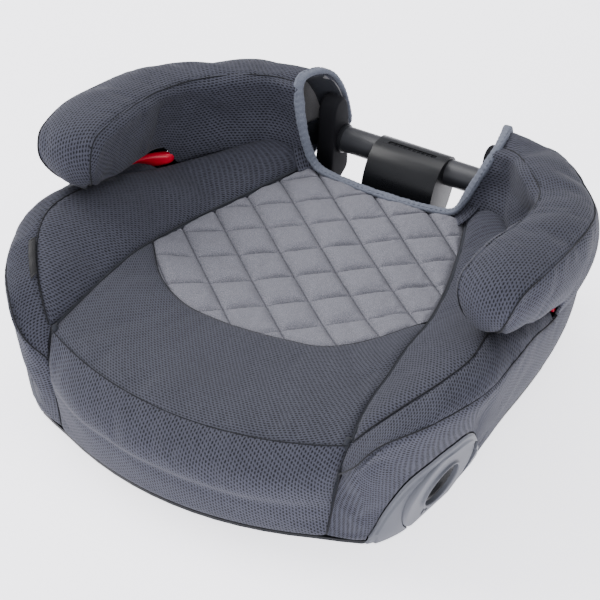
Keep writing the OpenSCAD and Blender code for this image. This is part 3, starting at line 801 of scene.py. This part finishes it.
def build_panel(seed, name, place, fine, dips, detail=None, look=MESH_SIDE, swap=False, pair=True,
                fill=0.6, nodes=(), flat_uv=False, pale_from=2.0):
    """Makes a planned panel on both sides, or once where it spans the seat."""
    rows, cols = shares(*fine)
    base = place(rows, cols)
    away = edge_distance(base)
    inside = smoothstep(0, 12, np.minimum.reduce(away))
    puff = resample(PUFFS[name], *fine)
    for ending, extra in ((("_right", 5), ("_left", 4)) if pair else (("", 0),)):
        out = puff + SWELL*unevenness(base, SWELL_SIZE, seed + extra)*inside
        if detail is not None:
            out = out + detail(rows, cols, base, away)
        for distance, dip in zip(away, dips):
            out = out - dip*np.exp(-(np.abs(distance)/ROLL)**1.4)
        top = base + normals(base)*out[..., None]
        uv = base[..., :2]*MM if flat_uv else None
        obj = shell(name + ending, top, CLOTH_T, look, SHADED_BACKING, ending == "_left", swap, uv, pale_from)
        stood = [n + ending for n in (nodes or (name,))]
        sew(obj, "melange_fabric" if look is MELANGE else "mesh_fabric", *stood, fill=fill)


def build_panels():
    for number, (name, place, fine, dips, finish) in enumerate(PANELS):
        build_panel(7*number, name, place, fine, dips, **finish)


def quilt_distance(p):
    """Distances in mm from the two families of quilt lines, and the places across each family."""
    a = QX*p[..., 0] + QY*p[..., 1] - A_OFF
    b = -QX*p[..., 0] + QY*p[..., 1] - B_OFF
    near = lambda t: np.abs(((t/QUILT + 0.5) % 1) - 0.5)*QUILT
    return near(a), near(b), a, b


# a panel's detail function takes its shares, points and distances from the edges, and gives mm to add
def quilting(rows, cols, base, away):
    """Pillows between the quilt lines, deeper along one family than the other."""
    da, db, a, b = quilt_distance(base)
    edge = np.minimum.reduce(away)
    rise = lambda d, half: 1 - (1 - np.clip(d/half, 0, 1))**2.6
    least, shallow = 1e-3, 0.16
    fa, fb, fe = rise(da, 15) + least, rise(db, 13) + shallow, rise(edge, 13) + least
    pillow = (fa**-3 + fb**-3 + fe**-3)**(-1/3)
    groove = 1.3*np.exp(-(da/1.1)**2) + 0.7*np.exp(-(db/0.9)**2)
    gather = puckers(b, da, 8.5, 0.22, 5) + puckers(a, db, 7.5, 0.16, 4)
    height, sunk = 5.8, 3.2
    return height*pillow - sunk - groove + gather


def front_crease(rows, cols, base, away):
    """One long soft fold across the front band, with a swell over and under it."""
    v = 2*cols - 1
    fold = bell(rows, 0.44 - 0.05*v, 0.075)*(1 - np.abs(v)**6)*(0.7 + 0.3*np.cos(2.2*v + 0.6))
    swell = 1.6*bell(rows, 0.78, 0.13) + 1.2*bell(rows, 0.2, 0.12)
    return swell*(1 - np.abs(v)**6) - 3.2*fold + puckers(143*v, away[1], 12, 0.18)


def between(x, a, b, c, d):
    """Rises from 0 to 1 between a and b and falls back to 0 between c and d."""
    return smoothstep(a, b, x)*(1 - smoothstep(c, d, x))


def crest_gathers(rows, cols, base, away):
    return puckers(arc(base, 0), away[3], 7.5, 0.55, 4.5)*between(rows, 0.12, 0.25, 0.55, 0.7)


def band_gathers(rows, cols, base, away):
    gathers = puckers(arc(base, 0), away[2], 7.5, 0.6, 5)*between(rows, 0.15, 0.3, 0.8, 0.95)
    return gathers + 0.8*bell(cols, 0.55, 0.25)


def inner_folds(rows, cols, base, away):
    """Roll under the top seam, and the long soft folds below it."""
    k = CORNER*rows
    roll = 3.4*bell(cols, 0.86, 0.12)
    valley = -6.5*bell(cols, 0.42, 0.2)*between(k, 6.5, 8.6, 10.2, 11)
    crease = -3.5*bell(k + 2.2*cols, 9.6, 0.28)*between(cols, 0.05, 0.3, 0.6, 0.9)
    wave = -1.5*bell(k - 1.4*cols, 6.3, 0.35)*between(cols, 0.1, 0.4, 0.7, 1)
    return (roll + valley + crease + wave)*smoothstep(1.5, 3, k)


def gusset_swell(rows, cols, base, away):
    along = arc(base, 0)
    return puckers(along, away[2], 11, 0.2) + puckers(along, away[3], 10, 0.25) + 1.0*bell(cols, 0.5, 0.3)


def outer_swell(rows, cols, base, away):
    k = CORNER*rows
    return 1.2*bell(k + cols, 5.0, 0.7) - 1.8*bell(k + 1.2*cols, 7.6, 0.3)*smoothstep(0.2, 0.5, cols)


def side_swell(rows, cols, base, away):
    return puckers(arc(base, 0), away[2], 9, 0.3, 5)


def arm_outer_place(a, b):
    """Outer armrest panel; behind the belt slot it runs down to the side panel."""
    k = CORNER*a
    p = arm_point(k, 2 + WHOLE*b)
    share = (between(k, 6.35, 7.15, 10.1, 11)*b**2)[..., None]
    return p + share*(curve(WIDE_SEAM, np.clip(k, 0, CORNER)) - arm_point(k, 2 + WHOLE + 0*b))


def arm_inner_place(a, b):
    """Inner armrest panel; behind the belt slot its foot goes down to the side panel."""
    k = CORNER*a
    p = arm_point(k, WHOLE*b)
    drop = curve(INNER_FOOT, (k - 7)*2)[..., 0]*smoothstep(7.2, 7.75, k)*(1 - b)**2.5
    return p - np.stack([0*drop, 0*drop, drop], -1)


def arm_floor_place(a, b):
    """Underside of the armrest, drawn in where the side panels close the slot behind it."""
    k = 8.0*a
    inset = 0.16*smoothstep(6.0, 7.2, k)
    return arm_point(k, 3 + WHOLE*(b*(1 - 2*inset) + inset))


panel("seat_front_panel", lambda a, b: seat_point(a*insert_edge(2*b - 1), 2*b - 1), (66, 150), (34, 76),
      pressure=4, cap=3.0, dips=(1.8, 1.2, 2.2, 2.2), look=MESH_SEAT, swap=True, pair=False, fill=0.7)
panel("seat_insert", lambda a, b: seat_point(insert_edge(2*b - 1)*(1 - a) + REAR*a, 2*b - 1), (190, 226),
      (86, 100), pressure=9, slack=0.03, cap=2.2, dips=(0.4, 0.2, 1.0, 1.0), detail=quilting, look=MELANGE,
      pair=False, fill=0.7, nodes=("seat_insert", "seat_foam"), flat_uv=True,
      pins=lambda p: np.minimum(*quilt_distance(p)[:2]) < 1.7)
panel("front_band", lambda a, b: front_point(a, 2*b - 1), (56, 150), (34, 76), pressure=3, cap=2.0,
      dips=(0.3, 1.8, 1.5, 1.5), detail=front_crease, look=MESH_FRONT, pair=False, fill=0.6)
panel("side_top_panel", lambda a, b: side_point(10.45*a, 1 + WHOLE*b), (170, 46), (90, 24), pressure=4,
      cap=2.6, dips=(0, 0, 2.6, 2.2), detail=crest_gathers, swap=True, fill=0.8)
panel("outer_band", lambda a, b: side_point(6.9*a, 2 + WHOLE*b), (140, 30), (80, 18), pressure=3,
      cap=2.0, dips=(0, 0, 2.1, 2.0), detail=band_gathers, swap=True, fill=0.6)
panel("lower_side_panel", lambda a, b: side_point(CORNER*a, 3 + (cover_edge(CORNER*a) - 3)*b), (230, 50),
      (110, 26), pressure=2, cap=1.6, dips=(1.2, 0.3, 1.6, 0.6), detail=side_swell, swap=True, fill=0.4)
panel("armrest_inner_panel", arm_inner_place, (190, 46), (100, 26), pressure=3, cap=2.2,
      dips=(0, 0.4, 0.6, 2.6), detail=inner_folds, fill=0.8, pale_from=0.86)
panel("armrest_gusset", lambda a, b: arm_point(CORNER*a, 1 + WHOLE*b), (190, 34), (100, 20), pressure=3,
      cap=2.2, dips=(0, 0.4, 2.6, 2.6), detail=gusset_swell, fill=0.8, pale_from=0.86)
panel("armrest_outer_panel", arm_outer_place, (190, 50), (100, 28), pressure=3, cap=2.2,
      dips=(0, 0.4, 2.6, 1.4), detail=outer_swell, fill=0.8, pale_from=0.86,
      nodes=("armrest_outer_panel", "armrest_foam"))
panel("armrest_floor", arm_floor_place, (150, 22), (80, 12), pressure=2,
      cap=1.5, dips=(0, 0, 1.0, 1.0), fill=0.6, nodes=("armrest_outer_panel",))
run_cloth()
build_panels()


def loose_cloth(name, points, thick, look):
    """The same piece of loose cloth on both sides."""
    for side in ("right", "left"):
        obj = shell(f"{name}_{side}", points, thick, look, SHADED_BACKING, side == "left")


def sleeve_wall():
    """Lining across each sleeve behind the foam, hanging down beside the seat, dark as painted shade
    inside the sleeve.
    """
    r, q = mesh_grid(np.linspace(0.02, 1, 14), np.linspace(0, 3.999, 60))
    station, share, drop = 9.75, 0.80, 46
    k = np.full_like(r, station)
    mid = arm_mid(k)
    p = mid + (arm_point(k, q) - mid)*(share*r)[..., None]
    p[..., 2] -= drop*smoothstep(0.3, 1, r)*between(q, 2.5, 3.05, 3.6, 3.98)
    p += unevenness(p, 30, 77)[..., None]*[0.4, -0.4, 0]
    loose_cloth("sleeve_lining", p, 1.4, SHADED_BACKING)


def sleeve_flap():
    """Flap of cover that closes the rear corner below each sleeve."""
    k, t = mesh_grid(np.linspace(8.6, CORNER, 50), np.linspace(0, 1, 14))
    top, foot = curve(ARM_OUT_LOW, k), curve(WIDE_SEAM, k)
    foot = (foot + top)*[0.5, 0.5, 0]
    foot_z, corner_rise = 66, 14
    foot[..., 2] = foot_z + corner_rise*smoothstep(10.4, CORNER, k)**2
    p = top + (foot - top)*t[..., None]
    inward = unit(np.stack([-top[..., 0] + 40, -top[..., 1] + 60, 0*k], -1))
    p += inward*(2.6 + 1.5*np.sin(math.pi*t))[..., None]
    loose_cloth("sleeve_flap", p, 1.6, MESH_SIDE)


sleeve_wall()
sleeve_flap()


# --- seams, binding, tag
def at_lengths(lengths, step, values):
    """Points or directions at the lengths given, from values known at the lengths in step."""
    return np.stack([np.interp(lengths, step, values[:, i]) for i in range(3)], -1)


def both(paths):
    """Paths of the right side and their mirrors."""
    return paths + [p*[-1, 1, 1] for p in paths]


def seam_threads():
    """Sewing lines lying in the grooves where panels meet, near black: partly the thread, partly painted
    shade of the grooves that also hides gaps between panels.
    """
    s = np.linspace(0, REAR, 160)
    across = np.linspace(-1, 1, 110)
    k = np.linspace(0.35, CORNER - 0.1, 170)
    lift = lambda p, x, z: p + np.array([x, 0, z])
    sunk, radius = 1.9, 0.7
    arm_seam = lambda q: arm_point(k, q) - unit(arm_point(k, q) - arm_mid(k))*sunk
    runs = both([lift(curve(SEAT_SEAM, s), 0, -sunk), lift(curve(CREST_SEAM, s[4:88]), -0.9, -1.5),
                 lift(curve(WIDE_SEAM, np.linspace(0.1, CORNER, 170)), -sunk, -0.2),
                 arm_seam(np.full_like(k, 1.0)), arm_seam(np.full_like(k, 2.0)),
                 side_point(np.full(40, 0.02), np.linspace(2.0, 3.98, 40)) + [-0.6, 1.2, 0]])
    runs += [front_point(np.full(110, 0.995), across) + [0, 1.4, -1.2],
             seat_point(insert_edge(across), across) + [0, 0, -1.7]]
    return add_object("seam_threads", *join_parts([tube(p, radius, 6) for p in runs]), [SEAM_SHADE_THREAD])


seam_threads()


def seam_allowances():
    """Folded cloth edges under the seat's side seams, in the dark backing: painted shade under the seams.
    """
    s = np.linspace(0.2, 10.5, 170)
    rear = smoothstep(6.5, 9.5, s)[:, None]
    path = curve(SEAT_SEAM, s) + [0.8, 0, -4.2] + rear*[1.4, 0.6, 1.0]
    corner = side_point(np.full(40, 0.02), np.linspace(1.95, 3.9, 40)) + [-3.4, 4.0, 0]
    parts = [tube(p, 3.0, 8) for p in both([path, corner])]
    return add_object("seam_allowances", *join_parts(parts), [SHADED_BACKING])


seam_allowances()


# where the tape's ends hang down beside the base, and the spacing of the points along it
TAIL = np.array([[117, 206, 50.0], [112, 214, 84.0]])
TAPE_STEP = 1.6


def binding_path():
    """Middle line of the edge tape, with its sideways and outward directions and its length so far.

    The tape goes up round one sleeve, along the seat's rear edge and round the other sleeve."""
    q = np.linspace(2.97, 0.10, 90)
    loop = arm_point(np.full_like(q, CORNER), q)
    inward = unit(arm_point(np.full_like(q, CORNER - 0.25), q) - loop)
    away = unit(loop - arm_mid(np.full_like(q, CORNER)))
    v = np.linspace(0.9, 0, 40)
    rear = seat_point(np.full_like(v, REAR), v) + [0, 2.0, -0.6]
    t = np.linspace(0, 1, 14)[:-1, None]
    tail = (1 - t)**2*TAIL[0] + 2*t*(1 - t)*TAIL[1] + t**2*loop[0]
    like = lambda value, rows: np.broadcast_to(np.asarray(value, float), rows.shape)
    tail_side = unit(np.array([0.9, -0.35, 0.1]))
    half = [np.concatenate([tail, loop, rear]),
            np.concatenate([like(tail_side, tail), inward, like([0, -1.0, 0.05], rear)]),
            np.concatenate([like(away[0], tail), away, like([0, 0, 1.0], rear)])]
    path, side, out = (np.concatenate([h, h[-2::-1]*[-1, 1, 1]]) for h in half)
    step = running_length(path)
    even = np.arange(0, step[-1], TAPE_STEP)

    def average(a, reach):
        box = np.ones(2*reach + 1)/(2*reach + 1)
        return np.convolve(np.pad(a, reach, mode="edge"), box, "valid")

    def soft(a, reach, times):
        """Values at even steps, averaged over their neighbours as many times as given."""
        a = at_lengths(even, step, a)
        for _ in range(times):
            a = np.stack([average(a[:, i], reach) for i in range(3)], -1)
        return a

    eased, out = soft(path, 4, 3), unit(soft(out, 7, 2))
    cut_off = np.maximum(np.sum((soft(path, 0, 0) - eased)*out, -1), 0)
    eased += out*(0.7 + 1.9*average(cut_off, 6))[:, None]
    return eased, unit(soft(side, 7, 2)), out, even


# half width and thickness of the tape, and the spacing of its ripples and stitches
TAPE_HALF, TAPE_T, RIPPLE, TAPE_STITCH = 4.5, 2.5, 5.2, 4.4


def edge_binding():
    """Rippled tape folded over the edge, and the sewing thread on its two faces."""
    path, side, _, along = binding_path()
    t = unit(np.gradient(path, axis=0))
    side = unit(side - t*np.sum(side*t, -1, keepdims=True))
    up = np.cross(t, side)
    sides = 20
    ang = np.linspace(0, 2*math.pi, sides, endpoint=False)
    c, s = np.cos(ang), np.sin(ang)
    flat = lambda x, p: np.sign(x)*np.abs(x)**p
    rng = np.random.default_rng(5)
    knots = np.interp(along, np.arange(0, along[-1] + 8, 8), rng.normal(size=int(along[-1]/8) + 2))
    wave = 2*math.pi*along/RIPPLE
    wide = TAPE_HALF + 0.22*np.sin(wave) + 0.25*knots
    thick = TAPE_T + 0.22*np.sin(wave + 0.8) + 0.15*knots
    ripple = 0.25*np.sin(wave[:, None] + 2*c[None])
    ring = (path[:, None] + side[:, None]*((wide[:, None]*flat(c, 0.8) + 1.6)[..., None])
            + up[:, None]*(((thick[:, None] + ripple)*flat(s, 0.7))[..., None]))
    uvs = np.stack([np.repeat(along*MM, sides), np.tile(ang/(2*math.pi)*0.02, len(path))], -1)
    faces = capped_rings(len(path), sides)
    tape = add_object("edge_binding", ring.reshape(-1, 3), faces, [BINDING], uvs)
    lift = np.array([-0.25, 0.2, 0.2, -0.25])[:, None]
    stitch, inset = 2.7, 4.0
    stitches = []
    for face in (1, -1):
        line = path + side*inset + up*face*(TAPE_T - 0.15)
        for start in np.arange(4, along[-1] - 6, TAPE_STITCH):
            ends = np.linspace(start, start + stitch, 4)
            dash = at_lengths(ends, along, line) + at_lengths(ends, along, up)*face*lift
            stitches.append(tube(dash, 0.42, 5))
    thread = add_object("binding_stitches", *join_parts(stitches), [BINDING])
    return tape, thread


def edge_facing():
    """Strip of cloth under the covers' edges, sewn into the tape."""
    path, side, out, _ = binding_path()
    keep = slice(24, -24)
    t = np.linspace(0, 1, 7)[None, :, None]
    p = path[keep, None] + side[keep, None]*(1.0 + 20*t) - out[keep, None]*(3.4 + 8.0*t)
    if normals(p)[len(p)//2, 3, 2] < 0:
        p = p[::-1]
    obj = shell("edge_facing", p, 1.0, MESH_SIDE, SHADED_BACKING)


edge_facing()
tape, tape_thread = edge_binding()
sew(tape, "binding_fabric", "seat_binding", "sleeve_binding_left", "sleeve_binding_right", fill=0.3)


def label_tag():
    """Blank folded tag sewn into the left crest seam."""
    start, end = 1.78, 2.78
    rows, cols = mesh_grid(np.linspace(start, end, 44), np.linspace(0, 1, 14))
    p = side_point(rows, 2.0 + 0.17*cols)
    out = 1.5 + 1.08*np.sin(math.pi*cols) + 0.25*np.sin(rows*19)*cols
    hem = 0.5*(bell(rows, start + 0.06, 0.02) + bell(rows, end - 0.06, 0.02))
    top = p + normals(p)*(out - hem)[..., None]
    obj = shell("label_tag", top, 1.0, TAG, TAG, mirror=True)
    sew(obj, "label_fabric", "label_tag")


label_tag()


# --- rear bar, saddle, uprights
AXLE_LO, AXLE_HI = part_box("backrest_axle")
AXLE_Y, AXLE_Z = (AXLE_LO.y + AXLE_HI.y)/2/MM, (AXLE_LO.z + AXLE_HI.z)/2/MM
AXLE_R = (AXLE_HI.z - AXLE_LO.z)/2/MM
SADDLE_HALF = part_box("axle_saddle")[1].x/MM
SADDLE_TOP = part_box("axle_saddle")[1].z/MM
UPRIGHT_IN, UPRIGHT_OUT = (corner.x/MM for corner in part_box("rear_upright_right"))
# the saddle and the uprights stand on the base and go up its rear wall
FOOT_Z, WALL_Y, WALL_Z = 4.3, 189, 46


def axle_saddle():
    """Moulded saddle over the middle of the bar, satin in front and plain on its side faces."""
    y, z = AXLE_Y, AXLE_Z
    outline = [(168, FOOT_Z), (WALL_Y, FOOT_Z), (WALL_Y, WALL_Z), (205, 58), (216, 74), (y + 15.5, z - 8),
               (y + 15, z + 4), (y + 9, z + 12.5), (y + 1, SADDLE_TOP), (y - 9, SADDLE_TOP),
               (y - 16, z + 13.5), (y - 23, z + 8.5), (y - 30, z + 0.5), (y - 35, z - 9.5),
               (y - 38, z - 20), (y - 39, z - 36)]
    outline = rounded_outline(outline, 6)
    obj = extrude_profile("axle_saddle", outline, -SADDLE_HALF, SADDLE_HALF, SATIN)
    slot = rounded_outline([(-25, 198), (25, 198), (25, 202.4), (-25, 202.4)], 2.1, 6)
    cut(obj, *prism(slot, SADDLE_TOP - 1.6, SADDLE_TOP + 9))
    round_edges(obj, 2.4, 4)
    obj.data.materials.append(BLACK)
    for face in obj.data.polygons:
        if abs(face.normal.x) > 0.9:
            face.material_index = 1
    sew(obj, "black_plastic", "axle_saddle")


def slot_bars():
    """Short cross ribs in the saddle's slot."""
    top = SADDLE_TOP - 0.7
    parts = []
    for x in np.linspace(-19, 19, 9):
        path = np.array([[x, 198.6, top - 0.7], [x, 200.2, top - 0.2], [x, 201.8, top - 0.7]])
        parts.append(tube(path, 0.8, 8))
    obj = add_object("saddle_slot_ribs", *join_parts(parts), [BLACK])


def rear_upright(side):
    """Upright that holds one end of the bar."""
    sign = 1 if side == "right" else -1
    outline = [(172, FOOT_Z), (WALL_Y, FOOT_Z), (WALL_Y, WALL_Z), (216, 58), (216.5, 90), (216, 122),
               (213, 133), (208, 139.5), (201, 142), (195, 141), (190, 137), (187, 128), (185, 100),
               (180, 60)]
    lo, hi = sorted((sign*UPRIGHT_IN, sign*UPRIGHT_OUT))
    obj = extrude_profile(f"rear_upright_{side}", rounded_outline(outline, 7), lo, hi, MATT)
    round_edges(obj, 3.4, 5)
    sew(obj, "black_plastic", f"rear_upright_{side}")


def ring_part(x, inner, outer, width):
    """Turned collar round the bar, with eased edges."""
    half, ease = width/2, 0.8
    profile = [(inner, -half), (outer - ease, -half), (outer, ease - half), (outer, half - ease),
               (outer - ease, half), (inner, half)]
    return lathe(profile, 64, lambda p: np.array([x + p[2], AXLE_Y + p[0], AXLE_Z + p[1]]), closed=True)


def axle_collars():
    """Collars on the bar against the uprights."""
    x = UPRIGHT_IN - 1.5
    parts = [ring_part(place, AXLE_R - 0.2, AXLE_R + 1.6, 4) for place in (-x, x)]
    obj = add_object("axle_collars", *join_parts(parts), [BLACK])
    edit_mesh(obj.data, weld)
    smooth_by_angle(obj, 40)


axle_saddle()
slot_bars()
for side in ("left", "right"):
    rear_upright(side)
axle_collars()


# --- belt guides
def belt_guide(side):
    """Red horn that holds the lap belt at the slot's rear end."""
    sign = 1 if side == "right" else -1
    lo, hi = (np.array(corner)/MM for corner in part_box(f"belt_guide_{side}"))
    x, y, z = (lo + hi)/2
    reach = (hi[0] - lo[0])/2*1.12
    rings, sides, radius = 44, 28, 6.3
    t = np.linspace(-1, 1, rings)
    spine = np.stack([x + sign*(reach*t + 1.2), y - 8.0 - 10.0*t, z + 1.0 - 3.0*t], -1)
    thick = (radius - 0.4*t + 0.4*np.cos(2.4*t + 0.8))*np.clip(1 - np.abs(t)**10, 0, 1)**0.5
    ang = np.linspace(0, 2*math.pi, sides, endpoint=False)
    tall = 1.0 + 0.12*np.cos(3*t)
    groove = 1 - 0.22*bell(ang, math.pi, 0.5)
    across = 0.92*thick[:, None]*groove*np.cos(ang)
    height = (thick*tall)[:, None]*np.sin(ang)
    ring = spine[:, None] + np.stack([0*across, across, height], -1)
    obj = add_object(f"belt_guide_{side}", ring.reshape(-1, 3), capped_rings(rings, sides), [RED])
    edit_mesh(obj.data, weld)
    sew(obj, "red_plastic", f"belt_guide_{side}")


for side in ("left", "right"):
    belt_guide(side)


# --- side covers and release buttons
press = {j["name"]: j for j in frame["record"]["behaviour"]["joints"]}["release_button_right_press"]
BUTTON_N = -np.array(press["axis"], float)
BUTTON_AT = np.array([192, -112, 35.0])
BUTTON_DOWN = unit(np.cross([-BUTTON_N[1], BUTTON_N[0], 0], BUTTON_N))
BUTTON_BACK = np.cross(BUTTON_N, BUTTON_DOWN)
BEZEL_R, BUTTON_R = 45.0, 20.7
# the bezel's vent slots: their turn, where the middle one is, their spacing and half width
SLOT_TURN = math.radians(-31)
SLOT_DOWN, SLOT_BACK, SLOT_PITCH, SLOT_HALF = 26.3, -7.5, 6.1, 1.1
SLOTS = (-1, 0, 1)


def on_button(p):
    """Point in the button's own axes, down, rearward and outward, in the row frame."""
    return BUTTON_AT + p[0]*BUTTON_DOWN + p[1]*BUTTON_BACK + p[2]*BUTTON_N


def side_cover(side):
    """Moulded cover over the side wall, with a stepped border and a hole for the bezel."""
    a, b = shares(130, 70)
    s = COVER_FROM + 0.03 + (COVER_TO - COVER_FROM - 0.06)*a
    edge = cover_edge(np.clip(s, COVER_FROM + 0.01, COVER_TO - 0.01)) + 0.012
    p = side_point(s, edge + (3.985 - edge)*b)
    p -= np.stack([4.0*b**6, 0*b, 6.0*b**5], -1)
    d = np.minimum.reduce(edge_distance(p)[:3])
    border, border_h, field_h = 7.0, 1.6, 1.4
    out = 0.2 + border_h*smoothstep(0, 1.8, d) + field_h*smoothstep(border, border + 1.6, d)
    obj = shell(f"side_cover_{side}", p + normals(p)*out[..., None], 3.2, GREY, GREY)
    hole = BEZEL_R + 0.8
    cut(obj, *lathe([(hole, -26), (hole, 26)], 128, on_button), solver="MANIFOLD")
    finish_side(obj, side, 40, "grey_plastic", f"side_cover_{side}")


def finish_side(obj, side, angle, slot, *nodes, body=None):
    """Mirrors a right-hand piece for the left side, shades it and hides the CAD nodes it stands for."""
    if side == "left":
        edit_mesh(obj.data, mirror_x)
    smooth_by_angle(obj, angle)
    if body:
        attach(obj, body)
    sew(obj, slot, *nodes)


def trim_floor(work):
    """Cuts a piece off flat just above the base's rim."""
    geom = work.verts[:] + work.edges[:] + work.faces[:]
    bmesh.ops.bisect_plane(work, geom=geom, plane_co=(0, 0, 1.0*MM), plane_no=(0, 0, 1), clear_inner=True)
    rim = [e for e in work.edges if e.is_boundary]
    if rim:
        bmesh.ops.triangle_fill(work, edges=rim, use_beauty=True)


def vent_slot(i, z0, z1):
    """Prism through one of the bezel's slanting vent slots, between two heights."""
    w, half = SLOT_HALF, 3.1 - 0.3*abs(i)
    c, s = math.cos(SLOT_TURN), math.sin(SLOT_TURN)
    flat = rounded_outline([(-half, -w), (half, -w), (half, w), (-half, w)], w - 0.1)
    outline = [(SLOT_DOWN + x*c - y*s, SLOT_BACK + SLOT_PITCH*i + x*s + y*c) for x, y in flat]
    return prism(outline, z0, z1, on_button)


def button_bezel(side):
    """Round bezel: lip round the hole, flat ring, eased rim and three vent slots below."""
    r0 = BUTTON_R + 0.4
    profile = [(r0, -3.0), (r0, 4.6), (r0 + 0.4, 5.2), (r0 + 1.1, 5.5), (r0 + 1.9, 5.3),
               (r0 + 2.4, 4.6), (r0 + 2.8, 3.5), (r0 + 3.4, 3.1), (BEZEL_R - 6, 3.4),
               (BEZEL_R - 2.4, 3.3), (BEZEL_R - 1.0, 2.8), (BEZEL_R - 0.2, 1.8), (BEZEL_R, 0.6),
               (BEZEL_R, -4.0)]
    obj = add_object(f"button_bezel_{side}", *lathe(profile, 144, on_button, closed=True), [GREY])
    edit_mesh(obj.data, weld)
    for i in SLOTS:
        cut(obj, *vent_slot(i, -9, 9), solver="MANIFOLD")
    edit_mesh(obj.data, trim_floor)
    finish_side(obj, side, 32, "grey_plastic", f"button_bezel_{side}")


def vent_slot_shade(side):
    """Dark floors of the bezel's vent slots, reaching up to the bezel's face: painted shade of the slot
    recesses.
    """
    floors = join_parts([vent_slot(i, -3.0, 3.45) for i in SLOTS])
    obj = add_object(f"bezel_painted_shade_{side}", *floors, [MATT])
    edit_mesh(obj.data, weld)
    finish_side(obj, side, 32, "black_plastic")


def release_button(side):
    """Glossy dished button on its stem."""
    r, stem = BUTTON_R, 8
    dish = [(0.90*r*t, -9.5 + 10.2*t**2.6) for t in np.linspace(0, 1, 26)]
    profile = dish + [(r*0.93, 1.3), (r*0.96, 1.5), (r*0.985, 1.2), (r, 0.4), (r, -11),
                      (stem + 0.4, -11.2), (stem, -12), (stem, -20), (0, -20)]
    obj = add_object(f"release_button_{side}", *lathe(profile, 128, on_button), [GLOSS])
    edit_mesh(obj.data, weld)
    finish_side(obj, side, 40, "gloss_button", f"release_button_{side}", body=f"button_{side}")


for side in ("left", "right"):
    side_cover(side)
    button_bezel(side)
    vent_slot_shade(side)
    release_button(side)


# --- carried-over CAD nodes
slot_of = {p["node"]: p["material_slot"] for p in frame["record"]["subparts"]}
for name, node in frame["nodes"].items():
    if node.hide_render:
        continue
    look = SLOT_LOOKS[slot_of[name]]
    if not node.data.materials:
        node.data.materials.append(look)
    for i in range(len(node.data.materials)):
        node.data.materials[i] = look
    if not name.startswith(("armrest_core", "seat_shell", "front_shell", "base_tray")):
        soften(node, 0.5, 2, 40)


# --- floor, light, camera
def floor_look():
    """Pale studio floor that gives a little light of its own."""
    k = Look("pale_floor", 0.75, Specular_IOR_Level=0.3, Emission_Color=tone(250, 249, 255),
             Emission_Strength=2.1)
    cloud = k.noise(k.place(), 1.6, 3.0)
    return k.finish(k.mix(k.ramp(cloud, 0.3, 0.7), tone(236, 235, 240), tone(229, 228, 234)))


FLOOR_HALF = 6.0
floor_mesh = bpy.data.meshes.new("floor")
corners = [(x*FLOOR_HALF, y*FLOOR_HALF, 0) for x, y in ((-1, -1), (1, -1), (1, 1), (-1, 1))]
floor_mesh.from_pydata(corners, [], [(0, 1, 2, 3)])
floor_mesh.materials.append(floor_look())
floor = bpy.data.objects.new("floor", floor_mesh)
scene.collection.objects.link(floor)
floor.location.z = -0.0002


def look_at(thing, place, aim):
    """Puts a light or the camera at a place, turned to an aim, both in metres."""
    thing.location = place
    thing.rotation_euler = (Vector(aim) - Vector(place)).to_track_quat("-Z", "Y").to_euler()
    scene.collection.objects.link(thing)


def area_light(name, place, aim, size_m, power, colour):
    data = bpy.data.lights.new(name, "AREA")
    data.shape = "RECTANGLE"
    data.size, data.size_y = size_m
    data.energy = power
    data.color = colour
    look_at(bpy.data.objects.new(name, data), place, aim)


area_light("key", (-1.8, 0.0, 1.7), (0, 0, 0.05), (1.4, 1.4), 72, (1.0, 0.99, 0.98))
area_light("front", (1.0, -2.1, 0.8), (0, 0, 0.06), (1.8, 1.0), 31, (0.97, 0.98, 1.0))
area_light("top", (0.2, 0.6, 2.6), (0, 0, 0.0), (2.6, 2.2), 44, (1.0, 1.0, 1.0))
world = bpy.data.worlds.new("soft_world")
world.use_nodes = True
sky = world.node_tree.nodes["Background"].inputs
sky["Color"].default_value = (0.93, 0.94, 1.0, 1)
sky["Strength"].default_value = 0.72
scene.world = world

camera_data = bpy.data.cameras.new("camera")
camera_data.sensor_width = 36
camera_data.lens = 129.13
camera = bpy.data.objects.new("camera", camera_data)
look_at(camera, (0.7458, -1.2752, 1.2317), (-0.004, 0.0015, 0.0673))
scene.camera = camera
